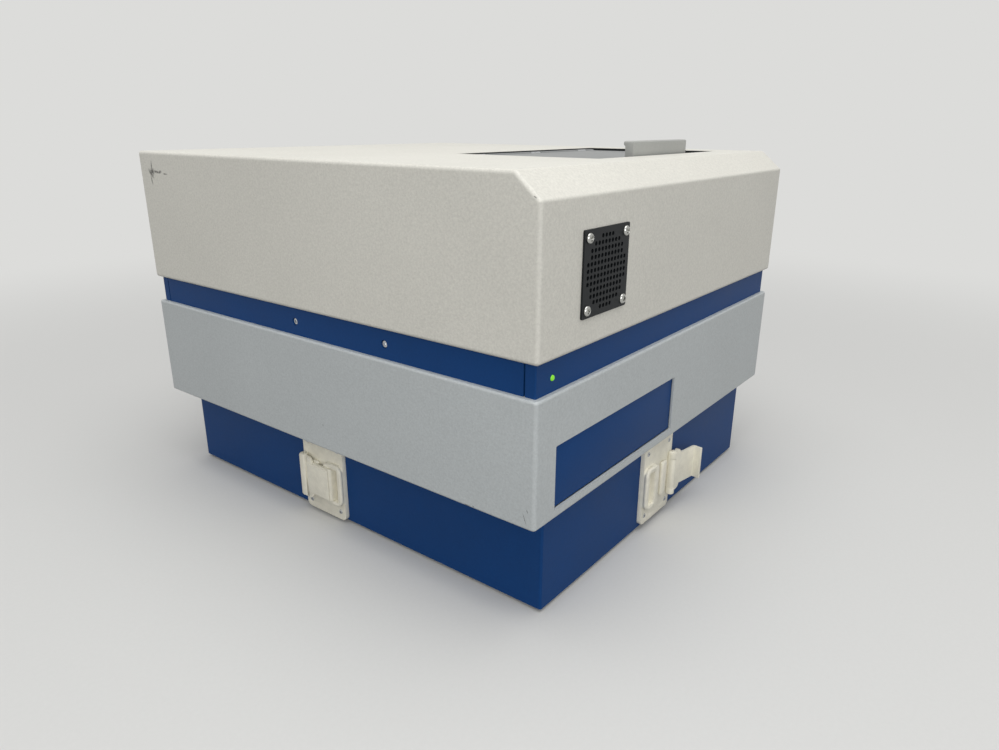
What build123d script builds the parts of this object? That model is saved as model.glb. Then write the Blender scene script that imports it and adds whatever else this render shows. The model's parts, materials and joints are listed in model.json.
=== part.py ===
from build123d import *
import os
from math import cos, hypot, radians, sin, tan

# Bench-top microplate reader. Millimetres, +Z up, front face towards -Y.
# Origin on the bench, under the middle of the case.

# Case
case_width = 440.0
case_depth = 480.0
foot_height = 3.0
plinth_height = 83.4
band_height = 98.2
trim_height = 24.8
hood_height = 123.6
sheet = 2.0
edge_radius = 3.0
inner_corner = 1.0

# Plinth set back under the band, side by side
plinth_inset_left = 24.9
plinth_inset_right = 27.7
plinth_inset_front = 9.9
plinth_inset_back = 8.4
plinth_lip = 6.0
plinth_corner = 2.0
foot_radius = 10.0
foot_inset = 32.0
foot_chamfer = 0.8
foot_screw_radius = 2.25

# Blue trim between band and hood
trim_inset = 4.5
trim_flange = 12.0
trim_wrap = 13.2
trim_gap = 1.4
band_ledge = 18.0
trim_screw_positions = (19.6, -91.0)
trim_screw_rise = 12.0
trim_screw_radius = 1.9
trim_screw_length = 10.0
trim_screw_sink = 1.0
trim_head_gap = 0.4
trim_head_height = 2.0
trim_socket_radius = 1.3
trim_socket_depth = 1.2
screw_recess_radius = 3.4
screw_recess_depth = 3.0
trim_boss_radius = 5.0
trim_boss_depth = 5.0

# Hood
hood_flange = 18.0
hood_slope_height = 17.7
hood_slope_depth = 20.8
vent_slot_width = 4.0
vent_slot_length = 60.0
vent_slot_count = 9
vent_slot_pitch = 10.0
vent_bank_count = 3
vent_bank_pitch = 120.0
vent_centre_rise = 62.0

# Plate door, measured from the left side of the case and from the band's lower edge
door_inset = 25.0
door_width = 191.0
door_height = 50.5
door_sill = 7.6
door_gap = 1.0
door_thickness = 2.0
door_axis_drop = 3.5
door_axis_depth = 5.5
door_knuckle_radius = 2.6
door_knuckle_length = 30.0
door_knuckle_pitch = 70.0
door_knuckle_count = 3
door_rod_radius = 1.2
door_ear = 3.0
door_ear_height = 10.0
door_ear_setback = 0.2
door_bracket_width = 9.0
door_bracket_sheet = 1.5
door_bracket_overlap = 1.0

# Fan behind the grille, measured from the left side of the case and from the hood's lower edge
fan_size = 60.0
fan_depth = 25.0
fan_hole_pitch = 50.0
fan_inset = 80.4
fan_rise = 52.5
fan_duct_radius = 28.5
fan_duct_rebate = 0.3
fan_flange = 4.0
fan_spider_sheet = 2.0
fan_arm_width = 4.0
fan_arm_count = 4
fan_boss_wall = 3.0
fan_boss_length = 4.0
fan_hub_radius = 12.5
fan_hub_start = 2.0
fan_hub_length = 15.0
fan_hub_round = 1.5
fan_shaft_radius = 1.5
fan_shaft_length = 5.5
fan_blade_count = 7
fan_blade_tip_gap = 0.8
fan_blade_thickness = 1.6
fan_blade_chord = 15.0
fan_blade_angle = 38.0
fan_blade_root = 1.0
grille_size = 61.5
grille_thickness = 1.5
grille_hole_radius = 1.6
grille_hole_sides = 8
grille_pitch = 4.55
grille_count = 12
grille_reach = 5.83
grille_screw_radius = 1.9
grille_head_radius = 3.8
grille_head_height = 2.4
grille_head_chamfer = 1.0
cross_length = 3.6
cross_width = 0.9
cross_depth = 1.4
screw_clearance = 0.2

# Status light
led_inset = 24.2
led_rise = 10.4
led_radius = 2.2
led_round = 1.2
led_proud = 1.0
led_body_length = 8.0
led_flange = 0.8
led_flange_sheet = 1.2
led_clearance = 0.1

# Lid and the well under it
lid_offset = 57.5
lid_width = 235.0
lid_depth = 150.0
lid_setback = 56.0
lid_gap = 1.5
lid_drop = 2.5
lid_lip = 4.0
well_rim = 8.0
well_lining = 0.8
well_lining_drop = 0.3
well_ledge = 10.0
well_depth = 54.0
well_corner = 4.0
hinge_pin_radius = 1.2
hinge_pin_end_gap = 1.0
hinge_knuckle_radius = 2.5
hinge_lift = 0.3
hinge_setback = 3.5
hinge_relief = 0.8
hinge_block_length = 16.0
hinge_block_pitch = 90.0
hinge_block_count = 3
hinge_slot_margin = 0.4
handle_offset = -3.5
handle_width = 106.0
handle_height = 15.0
handle_depth = 8.2
handle_edge_gap = 0.3
handle_lip_depth = 1.5
handle_lip_height = 3.0
handle_round = 1.4
handle_screw_pitch = 80.0
handle_screw_radius = 2.0
handle_screw_head_radius = 3.4
handle_screw_head_height = 1.5
running_clearance = 0.05

# Plate carrier, at rest behind the door
plate_length = 127.76
plate_width = 85.48
plate_clearance = 0.35
carrier_length = 140.0
carrier_width = 98.0
carrier_height = 8.0
carrier_chamfer = 0.8
carrier_setback = 120.0
carrier_lift = 9.6
nest_depth = 2.4
nest_ledge = 5.0
nest_corner = 2.0
notch_width = 20.0
notch_depth = 4.4
arm_width = 56.0
arm_thickness = 4.0
arm_overlap = 1.0
spring_thickness = 0.8
spring_length = 34.0
spring_width = 3.6
spring_seat = 0.6
spring_tongue_length = 8.0
spring_tongue_reach = 0.6

# Transport deck, guide rods and bridge
deck_sheet = 2.0
deck_wall_gap = 1.0
deck_slot_length = 50.0
deck_slot_width = 14.0
deck_slot_pitch = 120.0
deck_slot_setback = 390.0
standoff_radius = 5.0
standoff_inset_side = 55.0
standoff_setbacks = (50.0, 270.0, 440.0)
rod_radius = 5.0
rod_rise = 30.0
rod_inset = 60.0
rod_tail = 16.0
bracket_thickness = 8.0
bracket_width = 24.0
bracket_setback = 18.0
bracket_side_wall = 3.0
bracket_top_wall = 2.0
bridge_setback = 260.0
bridge_width = 46.0
bridge_inset = 50.0
bridge_plate = 4.0
bridge_gap = 4.0
bridge_rod_drop = 8.0
rod_block = 20.0
bushing_wall = 3.0
bushing_length = 10.0
cross_rod_radius = 4.0
cross_rod_spacing = 26.0
cross_rod_wall = 3.0
upright_thickness = 8.0
upright_inset_left = 73.0
upright_inset_right = 74.5
slider_length = 60.0
slider_width = 38.0
slider_height = 12.0

# Toothed belts
pulley_radius = 6.0
pulley_flange_radius = 8.0
pulley_flange = 1.0
belt_width = 6.0
belt_thickness = 1.2
belt_gap = 0.15
belt_side_gap = 0.3
belt_lift = 0.5
belt_clamp_gap = 0.2
belt_clamp_length = 14.0
belt_clamp_thickness = 3.0
belt_lug = 8.0
belt_lug_length = 16.0
idler_post = 6.0
idler_post_width = 16.0
motor_gap = 1.5
motor_size = 42.0
motor_length = 34.0
motor_corner = 5.0
motor_boss_height = 1.0
motor_foot_start = 8.5
motor_shaft_radius = 2.5
cross_motor_size = 28.0
cross_motor_length = 19.0
cross_motor_corner = 3.0
cross_idler_gap = 1.5
y_belt_inset = 80.0
y_motor_gap = 38.0
y_idler_setback = 40.0

# Optics
optics_lift = 59.6
optics_deck_thickness = 3.0
optics_inset_side = 20.0
optics_setback = 25.0
optics_inset_back = 50.0
optics_slot_length = 60.0
optics_slot_width = 20.0
optics_slot_inset = 70.0
optics_slot_setback = 360.0
pillar_radius = 6.0
pillar_inset_side = 40.0
pillar_setbacks = (35.0, 340.0, 418.0)
head_lid_offset = 6.5
head_nose_radius = 20.0
head_nose_lift = 17.5
head_nose_chamfer = 3.0
head_clearance = 1.0
head_block = 84.0
head_block_height = 88.0
head_tube_radius = 24.0
cap_radius = 34.0
cap_height = 16.0
cap_chamfer = 1.0
cap_grip_count = 12
cap_grip_radius = 4.0
cap_grip_offset = 1.5
injector_offset = 67.5
injector_width = 28.0
injector_length = 104.0
injector_height = 14.0
injector_chamfer = 1.2
port_count = 4
port_pitch = 24.0
port_cap_radius = 7.5
port_cap_height = 7.0
port_plug_radius = 5.0
port_plug_height = 5.0
wheel_radius = 46.0
wheel_thickness = 8.0
wheel_filter_radius = 6.3
wheel_filter_count = 8
wheel_filter_circle = 33.0
wheel_shaft_radius = 3.0
wheel_gap = 1.5
wheel_excitation_offset = -77.5
wheel_emission_offset = 52.5
wheel_setback = 300.0
wheel_rise = 56.0
lamp_offset = -30.0
lamp_setback = 62.0
lamp_width = 44.0
lamp_length = 58.0
lamp_height = 70.0
lamp_fin_count = 6
lamp_fin_pitch = 7.0
lamp_fin_width = 2.5
lamp_fin_height = 12.0
lamp_fin_margin = 2.0
detector_inset = 28.0
detector_width = 52.0
detector_length = 66.0
detector_height = 52.0
detector_setback = 210.0
detector_tube_radius = 14.0
detector_tube_length = 20.0
guide_radius = 5.0
guide_gap = 2.0
guide_pitch = 50.0

# Boards under the transport deck
supply_inset = 32.3
supply_width = 100.0
supply_setback = 90.0
supply_length = 160.0
supply_deck_gap = 5.0
supply_slot_count = 8
supply_slot_pitch = 10.0
supply_slot_length = 100.0
supply_slot_width = 4.0
supply_slot_depth = 2.0
board_inset = 45.1
board_supply_gap = 20.0
board_setback = 70.0
board_length = 180.0
board_thickness = 2.0
board_lift = 6.0
board_post_radius = 3.0
board_post_inset = 10.0
chip_size = 24.0
chip_height = 3.0
chip_places = ((40.0, 50.0), (90.0, 50.0), (40.0, 120.0), (130.0, 110.0), (90.0, 150.0))

# Rear panel and electrics
rear_cutout_width = 190.0
rear_cutout_height = 62.0
rear_cutout_x = 60.0
rear_panel_margin = 8.0
rear_panel_sheet = 1.5
panel_centre_rise = 51.0
panel_screw_inset = 7.0
panel_screw_radius = 1.6
panel_screw_length = 6.0
panel_head_radius = 3.0
panel_head_height = 1.8
cutout_gap = 0.2
inlet_offset = 50.0
inlet_width = 27.0
inlet_height = 19.5
inlet_depth = 22.0
inlet_rim = 2.0
inlet_flange = 2.0
inlet_ear = 11.0
inlet_ear_hole_radius = 1.7
inlet_ear_hole_inset = 0.5
inlet_mouth_width = 24.5
inlet_mouth_height = 16.5
inlet_mouth_bevel = 4.0
inlet_cavity = 16.0
inlet_pins = ((-7.0, -1.5), (7.0, -1.5), (0.0, 3.0))
inlet_pin_width = 2.0
inlet_pin_height = 4.0
inlet_pin_length = 14.0
rocker_offset = -2.0
rocker_width = 19.0
rocker_height = 13.0
rocker_lean = 12.0
rocker_dip = 4.0
rocker_rise = 3.4
rocker_pivot_depth = 1.0
rocker_end_gap = 0.9
rocker_root_depth = 6.0
rocker_root_height = 4.0
rocker_shoulder = 1.5
rocker_pin_radius = 1.2
rocker_pin_seat = 1.2
bezel_gap = 0.5
bezel_wall = 1.5
bezel_flange = 2.0
bezel_flange_sheet = 2.0
bezel_flange_corner = 2.0
bezel_depth = 14.0
bezel_floor = 3.0
port_offsets = (-60.0, -36.0)
port_width = 12.0
port_height = 11.0
port_depth = 14.0
port_mouth_width = 8.4
port_mouth_height = 7.8
port_mouth_depth = 9.0
port_tongue_width = 5.6
port_tongue_height = 3.2

# Tie-down latches: a flap hinged on a plate, whose hooked end drops into a keeper
latch_plate_width = 56.0
latch_plate_height = 78.5
latch_plate_thickness = 4.0
latch_plate_corner = 5.0
latch_left_y = -9.6
latch_left_rise = 0.0
latch_front_x = -39.4
latch_front_rise = 3.2
latch_front_opening = 170.0
latch_screw_inset = 7.0
latch_screw_inset_end = 8.0
latch_screw_radius = 1.6
latch_screw_gap = 0.1
latch_head_radius = 2.4
latch_head_height = 1.2
latch_seat = 3.2
clasp_middle = 36.5
clasp_axis_along = 51.0
clasp_axis_out = 8.0
clasp_barrel_radius = 3.6
clasp_barrel_length = 30.0
clasp_web = 4.4
clasp_pin_radius = 1.5
clasp_pin_length = 42.0
clasp_end_gap = 0.3
clasp_swing_gap = 0.6
keeper_length = 24.0
keeper_width = 41.5
keeper_height = 4.4
keeper_corner = 6.0
keeper_taper = 12.0
slot_start = 4.0
slot_length = 10.2
slot_width = 33.5
slot_corner = 1.0
slot_floor = 1.0
flap_knuckle_radius = 3.8
flap_width = 43.0
flap_root = 15.0
flap_corner = 6.0
flap_lift = 0.8
flap_thickness = 2.6
flap_reach = 40.0
flap_tab_width = 32.5
flap_tab_start = 12.0
flap_bend = 2.0
flap_hook_drop = 7.4

# Levels and places worked out from the sizes above
half_width = case_width / 2
half_depth = case_depth / 2
case_x = (-half_width, half_width)
case_y = (-half_depth, half_depth)
band_low = foot_height + plinth_height
band_top = band_low + band_height
hood_low = band_top + trim_height
hood_top = hood_low + hood_height
plinth_x = (-half_width + plinth_inset_left, half_width - plinth_inset_right)
plinth_y = (-half_depth + plinth_inset_front, half_depth - plinth_inset_back)
floor_top = foot_height + sheet
door_left = -half_width + door_inset
door_right = door_left + door_width
door_low = band_low + door_sill
door_top = door_low + door_height
door_centre_x = (door_left + door_right) / 2
door_centre_z = (door_low + door_top) / 2
door_axis_y = -half_depth + door_axis_depth
door_axis_z = door_top - door_axis_drop
fan_x = -half_width + fan_inset
fan_z = hood_low + fan_rise
led_x = -half_width + led_inset
led_z = band_top + led_rise
lid_x = (lid_offset - lid_width / 2, lid_offset + lid_width / 2)
lid_y = (-half_depth + lid_setback, -half_depth + lid_setback + lid_depth)
lid_top = hood_top - lid_drop
lid_under = lid_top - sheet
ledge_top = lid_top - lid_lip
well_floor = ledge_top - well_depth
hinge_y = lid_y[1] - hinge_setback
hinge_z = ledge_top + hinge_knuckle_radius + hinge_lift
handle_front = lid_y[0] + lid_gap + handle_edge_gap
handle_x = lid_offset + handle_offset
carrier_x = door_centre_x
carrier_y = (-half_depth + carrier_setback, -half_depth + carrier_setback + carrier_width)
carrier_middle = (carrier_y[0] + carrier_y[1]) / 2
carrier_low = band_low + carrier_lift
carrier_top = carrier_low + carrier_height
bridge_y = (-half_depth + bridge_setback, -half_depth + bridge_setback + bridge_width)
bridge_half = half_width - bridge_inset
bridge_top = carrier_low - bridge_gap
bridge_low = bridge_top - bridge_plate
rod_z = bridge_low - bridge_rod_drop
rod_x = half_width - rod_inset
rod_start = -half_depth + bracket_setback
rod_end = bridge_y[1] + rod_tail
deck_top = rod_z - rod_rise
deck_low = deck_top - deck_sheet
slider_low = carrier_low + arm_thickness
slider_top = slider_low + slider_height
cross_rod_z = slider_low + slider_height / 2
cross_y = (bridge_y[0] + bridge_y[1]) / 2
cross_rods_y = (cross_y - cross_rod_spacing / 2, cross_y + cross_rod_spacing / 2)
upright_left = -half_width + upright_inset_left
upright_right = half_width - upright_inset_right
pulley_half = belt_width / 2 + belt_side_gap
motor_face = pulley_half + pulley_flange + motor_gap
belt_z = slider_top + pulley_flange + belt_width / 2 + belt_lift
shaft_top = belt_z + belt_width / 2 + 2 * pulley_flange
y_belt_x = -half_width + y_belt_inset
y_motor_y = bridge_y[1] + y_motor_gap
y_idler_y = -half_depth + y_idler_setback
x_drive_x = upright_right + cross_motor_size / 2
x_idler_x = upright_left - pulley_flange_radius - cross_idler_gap
optics_low = band_low + optics_lift
optics_top = optics_low + optics_deck_thickness
head_x = lid_offset
head_y = (lid_y[0] + lid_y[1]) / 2 + head_lid_offset
wheel_y = -half_depth + wheel_setback
wheel_z = optics_top + wheel_rise
wheel_excitation_x = head_x + wheel_excitation_offset
wheel_emission_x = head_x + wheel_emission_offset
panel_z = band_low + panel_centre_rise
panel_face = half_depth - sheet
latch_left_z = foot_height + latch_left_rise + clasp_middle
latch_front_z = foot_height + latch_front_rise + clasp_middle
os.makedirs("parts", exist_ok=True)


def save(piece, name):
    """Name a finished piece and write it as a STEP file."""
    piece.part.label = name
    export_step(piece.part, f"parts/{name}.step")


def grown(span, by):
    """Span with both ends moved outwards, or inwards by a negative amount."""
    return (span[0] - by, span[1] + by)


def about(middle, length):
    """Span of a length about its middle."""
    return (middle - length / 2, middle + length / 2)


def slab(x_span, y_span, z_span, corner=0.0, mode=Mode.ADD):
    """Extrude a plan rectangle, with rounded corners if asked, between two heights."""
    with BuildSketch(Plane.XY.offset(z_span[0])) as plan:
        with Locations((sum(x_span) / 2, sum(y_span) / 2)):
            if corner:
                RectangleRounded(x_span[1] - x_span[0], y_span[1] - y_span[0], corner)
            else:
                Rectangle(x_span[1] - x_span[0], y_span[1] - y_span[0])
    extrude(plan.sketch, amount=z_span[1] - z_span[0], mode=mode)


def round_bar(start, direction, radius, length, mode=Mode.ADD):
    """Extrude a circle from a start point along a direction."""
    with BuildSketch(Plane(origin=start, z_dir=direction)) as section:
        Circle(radius)
    extrude(section.sketch, amount=length, mode=mode)


# Base plinth: folded sheet tray with an inward lip that carries the band
foot_places = [(x, y) for x in grown(plinth_x, -foot_inset) for y in grown(plinth_y, -foot_inset)]
with BuildPart() as base_plinth:
    slab(plinth_x, plinth_y, (foot_height, band_low), plinth_corner)
    plinth_inside = (grown(plinth_x, -sheet), grown(plinth_y, -sheet))
    slab(*plinth_inside, (floor_top, band_low - sheet), mode=Mode.SUBTRACT)
    plinth_mouth = (grown(plinth_x, -plinth_lip), grown(plinth_y, -plinth_lip))
    slab(*plinth_mouth, (band_low - sheet, band_low), mode=Mode.SUBTRACT)
    with Locations(*[(x, y, floor_top) for x, y in foot_places]):
        Hole(foot_screw_radius, depth=2 * sheet)
save(base_plinth, "base_plinth")

# Rubber feet with a recessed screw seat
with BuildPart() as rubber_feet:
    with BuildSketch(Plane.XY) as foot_plan:
        with Locations(*foot_places):
            Circle(foot_radius)
            Circle(foot_screw_radius, mode=Mode.SUBTRACT)
    extrude(amount=foot_height)
    foot_rims = rubber_feet.edges().filter_by(GeomType.CIRCLE).group_by(Axis.Z)[0]
    chamfer(foot_rims.filter_by(lambda rim: rim.radius > foot_screw_radius), length=foot_chamfer)
save(rubber_feet, "rubber_feet")

# Lower band: folded ring with an inward bottom flange and a top ledge
with BuildPart() as lower_band:
    slab(case_x, case_y, (band_low, band_top), edge_radius)
    band_ends = lower_band.faces().filter_by(Axis.Z)
    fillet(band_ends.edges(), radius=edge_radius - inner_corner)
    band_inside = (grown(case_x, -sheet), grown(case_y, -sheet), (band_low + sheet, band_top - sheet))
    slab(*band_inside, inner_corner, mode=Mode.SUBTRACT)
    slab(*plinth_mouth, (band_low, band_low + sheet), mode=Mode.SUBTRACT)
    band_mouth = (grown(case_x, -band_ledge), grown(case_y, -band_ledge))
    slab(*band_mouth, (band_top - sheet, band_top), mode=Mode.SUBTRACT)
    with BuildSketch(Plane.XZ.offset(half_depth)) as door_opening:
        with Locations((door_centre_x, door_centre_z)):
            RectangleRounded(door_width, door_height, inner_corner)
    extrude(amount=-sheet, mode=Mode.SUBTRACT)
    with BuildSketch(Plane.XZ.offset(-half_depth)) as rear_cutout:
        with Locations((rear_cutout_x, panel_z)):
            RectangleRounded(rear_cutout_width, rear_cutout_height, edge_radius)
    extrude(amount=sheet, mode=Mode.SUBTRACT)
save(lower_band, "lower_band")

# Trims: channel sections in four stretches, the front and rear ones wrapping the corners
trim_width = case_width - 2 * trim_inset
trim_depth = case_depth - 2 * trim_inset
wrap_end = half_depth - trim_wrap
trim_screw_z = band_top + trim_screw_rise


def trim_stretch(x_span, y_span):
    """Build the stretch of the trim channel that lies inside a plan window."""
    for depth_in, z_low, height in (
        (sheet, band_top, trim_height),
        (trim_flange, band_top, sheet),
        (trim_flange, hood_low - sheet, sheet),
    ):
        with BuildSketch(Plane.XY.offset(z_low)) as plan:
            RectangleRounded(trim_width, trim_depth, inner_corner)
            Rectangle(trim_width - 2 * depth_in, trim_depth - 2 * depth_in, mode=Mode.SUBTRACT)
            with Locations((sum(x_span) / 2, sum(y_span) / 2)):
                Rectangle(x_span[1] - x_span[0], y_span[1] - y_span[0], mode=Mode.INTERSECT)
        extrude(plan.sketch, amount=height)


def trim_screw_seats(side):
    """Add the bosses behind a side trim and bore the recessed screw seats."""
    face = side * (half_width - trim_inset)
    inwards = (-side, 0, 0)
    for y in trim_screw_positions:
        round_bar((face - side * sheet, y, trim_screw_z), inwards, trim_boss_radius, trim_boss_depth)
        seat = (face, y, trim_screw_z)
        round_bar(seat, inwards, screw_recess_radius, screw_recess_depth, Mode.SUBTRACT)
        round_bar(seat, inwards, trim_screw_radius, sheet + trim_boss_depth, Mode.SUBTRACT)


with BuildPart() as front_trim:
    trim_stretch(case_x, (-half_depth, -wrap_end))
    led_bore = led_radius + led_clearance
    round_bar((led_x, -half_depth, led_z), (0, 1, 0), led_bore, trim_inset + sheet, Mode.SUBTRACT)
save(front_trim, "front_trim")

with BuildPart() as rear_trim:
    trim_stretch(case_x, (wrap_end, half_depth))
save(rear_trim, "rear_trim")

side_stretch = (-wrap_end + trim_gap, wrap_end - trim_gap)
with BuildPart() as side_trim_left:
    trim_stretch((-half_width, -half_width / 2), side_stretch)
    trim_screw_seats(-1)
save(side_trim_left, "side_trim_left")

with BuildPart() as side_trim_right:
    trim_stretch((half_width / 2, half_width), side_stretch)
    trim_screw_seats(1)
save(side_trim_right, "side_trim_right")

# Hood: folded shell with a sloping front top edge, the lid opening, the fan hole and rear vents
fan_screws = [(x, z) for x in about(fan_x, fan_hole_pitch) for z in about(fan_z, fan_hole_pitch)]


def hood_profile(inset):
    """Side outline of the hood, moved inwards by a wall."""
    slope = inset * (hood_slope_depth + hood_slope_height) / (4 * hood_slope_depth)
    return (
        (-half_depth + inset, hood_low + inset),
        (half_depth - inset, hood_low + inset),
        (half_depth - inset, hood_top - inset),
        (-half_depth + hood_slope_depth + slope, hood_top - inset),
        (-half_depth + inset, hood_top - hood_slope_height - slope),
    )


with BuildPart() as hood:
    with BuildSketch(Plane.YZ.offset(-half_width)) as side_view:
        with BuildLine():
            Polyline(*hood_profile(0), close=True)
        make_face()
    extrude(amount=case_width)
    fillet(hood.edges(), radius=edge_radius)
    with BuildSketch(Plane.YZ.offset(-half_width + sheet)) as cavity_view:
        with BuildLine():
            Polyline(*hood_profile(sheet), close=True)
        make_face()
    extrude(amount=case_width - 2 * sheet, mode=Mode.SUBTRACT)
    hood_mouth = (grown(case_x, -hood_flange), grown(case_y, -hood_flange))
    slab(*hood_mouth, (hood_low, hood_low + sheet), mode=Mode.SUBTRACT)
    lid_cut = (grown(lid_x, well_lining), grown(lid_y, well_lining))
    slab(*lid_cut, (hood_top - sheet, hood_top), inner_corner, mode=Mode.SUBTRACT)
    with BuildSketch(Plane.XZ.offset(half_depth)) as fan_holes:
        with Locations((fan_x, fan_z)):
            Circle(fan_duct_radius)
        with Locations(*fan_screws):
            Circle(grille_screw_radius + screw_clearance)
    extrude(amount=-sheet, mode=Mode.SUBTRACT)
    with BuildSketch(Plane.XZ.offset(-half_depth)) as vents:
        for bank in range(vent_bank_count):
            bank_x = (bank - (vent_bank_count - 1) / 2) * vent_bank_pitch
            with Locations((bank_x, hood_low + vent_centre_rise)):
                with GridLocations(0, vent_slot_pitch, 1, vent_slot_count):
                    SlotOverall(vent_slot_length, vent_slot_width)
    extrude(amount=sheet, mode=Mode.SUBTRACT)
save(hood, "hood")

# Fan grille: square pierced plate, the holes on a square pitch inside a circle
grille_steps = [index - (grille_count - 1) / 2 for index in range(grille_count)]
grille_holes = [
    (fan_x + column * grille_pitch, fan_z + row * grille_pitch)
    for row in grille_steps
    for column in grille_steps
    if hypot(row, column) <= grille_reach
]
with BuildPart() as fan_grille:
    with BuildSketch(Plane.XZ.offset(half_depth)) as grille_plan:
        with Locations((fan_x, fan_z)):
            RectangleRounded(grille_size, grille_size, inner_corner)
        with Locations(*fan_screws):
            Circle(grille_screw_radius + screw_clearance, mode=Mode.SUBTRACT)
        with Locations(*grille_holes):
            RegularPolygon(grille_hole_radius, grille_hole_sides, mode=Mode.SUBTRACT)
    extrude(amount=grille_thickness)
save(fan_grille, "fan_grille")

# Pan-head grille screws with cross recesses, through the grille, hood and fan flange
grille_face = -half_depth - grille_thickness
with BuildPart() as grille_screws:
    for x, z in fan_screws:
        round_bar((x, grille_face, z), (0, -1, 0), grille_head_radius, grille_head_height)
        grip = grille_thickness + sheet + fan_flange
        round_bar((x, grille_face, z), (0, 1, 0), grille_screw_radius, grip)
    head_rims = grille_screws.edges().filter_by(GeomType.CIRCLE).group_by(Axis.Y)[0]
    chamfer(head_rims, length=grille_head_chamfer)
    with BuildSketch(Plane.XZ.offset(grille_head_height - grille_face)) as recesses:
        with Locations(*fan_screws):
            Rectangle(cross_length, cross_width)
            Rectangle(cross_width, cross_length)
    extrude(amount=-cross_depth, mode=Mode.SUBTRACT)
save(grille_screws, "grille_screws")

# Fan frame: square flanges, round duct, rear spider and its hub cup
fan_front = -half_depth + sheet
fan_plane = Plane(origin=(fan_x, fan_front, fan_z), x_dir=(1, 0, 0), z_dir=(0, 1, 0))
with BuildPart() as fan_frame:
    for start in (0, fan_depth - fan_flange):
        with BuildSketch(fan_plane.offset(start)) as fan_flange_plan:
            RectangleRounded(fan_size, fan_size, edge_radius)
            Circle(fan_duct_radius, mode=Mode.SUBTRACT)
            with GridLocations(fan_hole_pitch, fan_hole_pitch, 2, 2):
                Circle(grille_screw_radius + screw_clearance, mode=Mode.SUBTRACT)
        extrude(amount=fan_flange)
    with BuildSketch(fan_plane) as duct_plan:
        Circle(fan_size / 2 - fan_duct_rebate)
        Circle(fan_duct_radius, mode=Mode.SUBTRACT)
    extrude(amount=fan_depth)
    with BuildSketch(fan_plane.offset(fan_depth - fan_spider_sheet)) as spider:
        Circle(fan_hub_radius)
        with PolarLocations(0, fan_arm_count, start_angle=45):
            with Locations(((fan_duct_radius + fan_duct_rebate) / 2, 0)):
                Rectangle(fan_duct_radius + fan_duct_rebate, fan_arm_width)
    extrude(amount=fan_spider_sheet)
    with BuildSketch(fan_plane.offset(fan_depth - fan_spider_sheet - fan_boss_length)) as bearing_boss:
        Circle(fan_shaft_radius + fan_boss_wall)
        Circle(fan_shaft_radius + running_clearance, mode=Mode.SUBTRACT)
    extrude(amount=fan_boss_length)
save(fan_frame, "fan_frame")

# Fan rotor: hub with pitched blades and the shaft in the rear boss
with BuildPart() as fan_rotor:
    with BuildSketch(fan_plane.offset(fan_hub_start)) as rotor_hub:
        Circle(fan_hub_radius)
    extrude(amount=fan_hub_length)
    fillet(fan_rotor.faces().sort_by(Axis.Y)[0].edges(), radius=fan_hub_round)
    with BuildSketch(fan_plane.offset(fan_hub_start + fan_hub_length)) as rotor_shaft:
        Circle(fan_shaft_radius)
    extrude(amount=fan_shaft_length)
    blade_start = fan_hub_radius - fan_blade_root
    blade_lean = radians(fan_blade_angle)
    blade_middle = Vector(fan_x, fan_front + fan_hub_start + fan_hub_length / 2, fan_z)
    for index in range(fan_blade_count):
        turn = radians(index * 360 / fan_blade_count)
        outwards = Vector(cos(turn), 0, sin(turn))
        blade_plane = Plane(
            origin=blade_middle + outwards * blade_start,
            x_dir=(-sin(turn) * cos(blade_lean), sin(blade_lean), cos(turn) * cos(blade_lean)),
            z_dir=outwards,
        )
        with BuildSketch(blade_plane) as blade_section:
            Rectangle(fan_blade_chord, fan_blade_thickness)
        extrude(amount=fan_duct_radius - fan_blade_tip_gap - blade_start)
    with BuildSketch(fan_plane) as rotor_envelope:
        Circle(fan_duct_radius - fan_blade_tip_gap)
    extrude(amount=fan_depth, mode=Mode.INTERSECT)
save(fan_rotor, "fan_rotor")

# Status light in the front trim
trim_face = -half_depth + trim_inset
with BuildPart() as status_led:
    round_bar((led_x, trim_face - led_proud, led_z), (0, 1, 0), led_radius, led_body_length)
    fillet(status_led.faces().sort_by(Axis.Y)[0].edges(), radius=led_round)
    round_bar((led_x, trim_face + sheet, led_z), (0, 1, 0), led_radius + led_flange, led_flange_sheet)
save(status_led, "status_led")

# Lid well pan: lining up the edges of the hood's opening, rim, ledge for the lid, tub below
well_x = grown(lid_x, -well_ledge)
well_y = grown(lid_y, -well_ledge)
with BuildPart() as lid_well_pan:
    rim_span = (hood_top - 2 * sheet, hood_top - sheet)
    slab(grown(lid_x, well_rim), grown(lid_y, well_rim), rim_span)
    lining_span = (ledge_top - sheet, hood_top - well_lining_drop)
    slab(*lid_cut, lining_span, inner_corner)
    slab(grown(well_x, sheet), grown(well_y, sheet), (well_floor - sheet, ledge_top), well_corner + sheet)
    slab(lid_x, lid_y, (ledge_top, hood_top), inner_corner, mode=Mode.SUBTRACT)
    slab(well_x, well_y, (well_floor, ledge_top), well_corner, mode=Mode.SUBTRACT)
save(lid_well_pan, "lid_well_pan")

# Hinge blocks on the rear ledge, the pin through them, and the lid that turns on it
block_places = [
    lid_offset + (index - (hinge_block_count - 1) / 2) * hinge_block_pitch for index in range(hinge_block_count)
]
panel_x = grown(lid_x, -lid_gap)
panel_back = hinge_y - hinge_knuckle_radius - hinge_relief
with BuildPart() as lid_hinge_blocks:
    for x in block_places:
        block_x = about(x, hinge_block_length)
        slab(block_x, (hinge_y - hinge_knuckle_radius, lid_y[1]), (ledge_top, hinge_z))
        block_start = (block_x[0], hinge_y, hinge_z)
        round_bar(block_start, (1, 0, 0), hinge_knuckle_radius, hinge_block_length)
        round_bar(block_start, (1, 0, 0), hinge_pin_radius, hinge_block_length, Mode.SUBTRACT)
save(lid_hinge_blocks, "lid_hinge_blocks")

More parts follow.
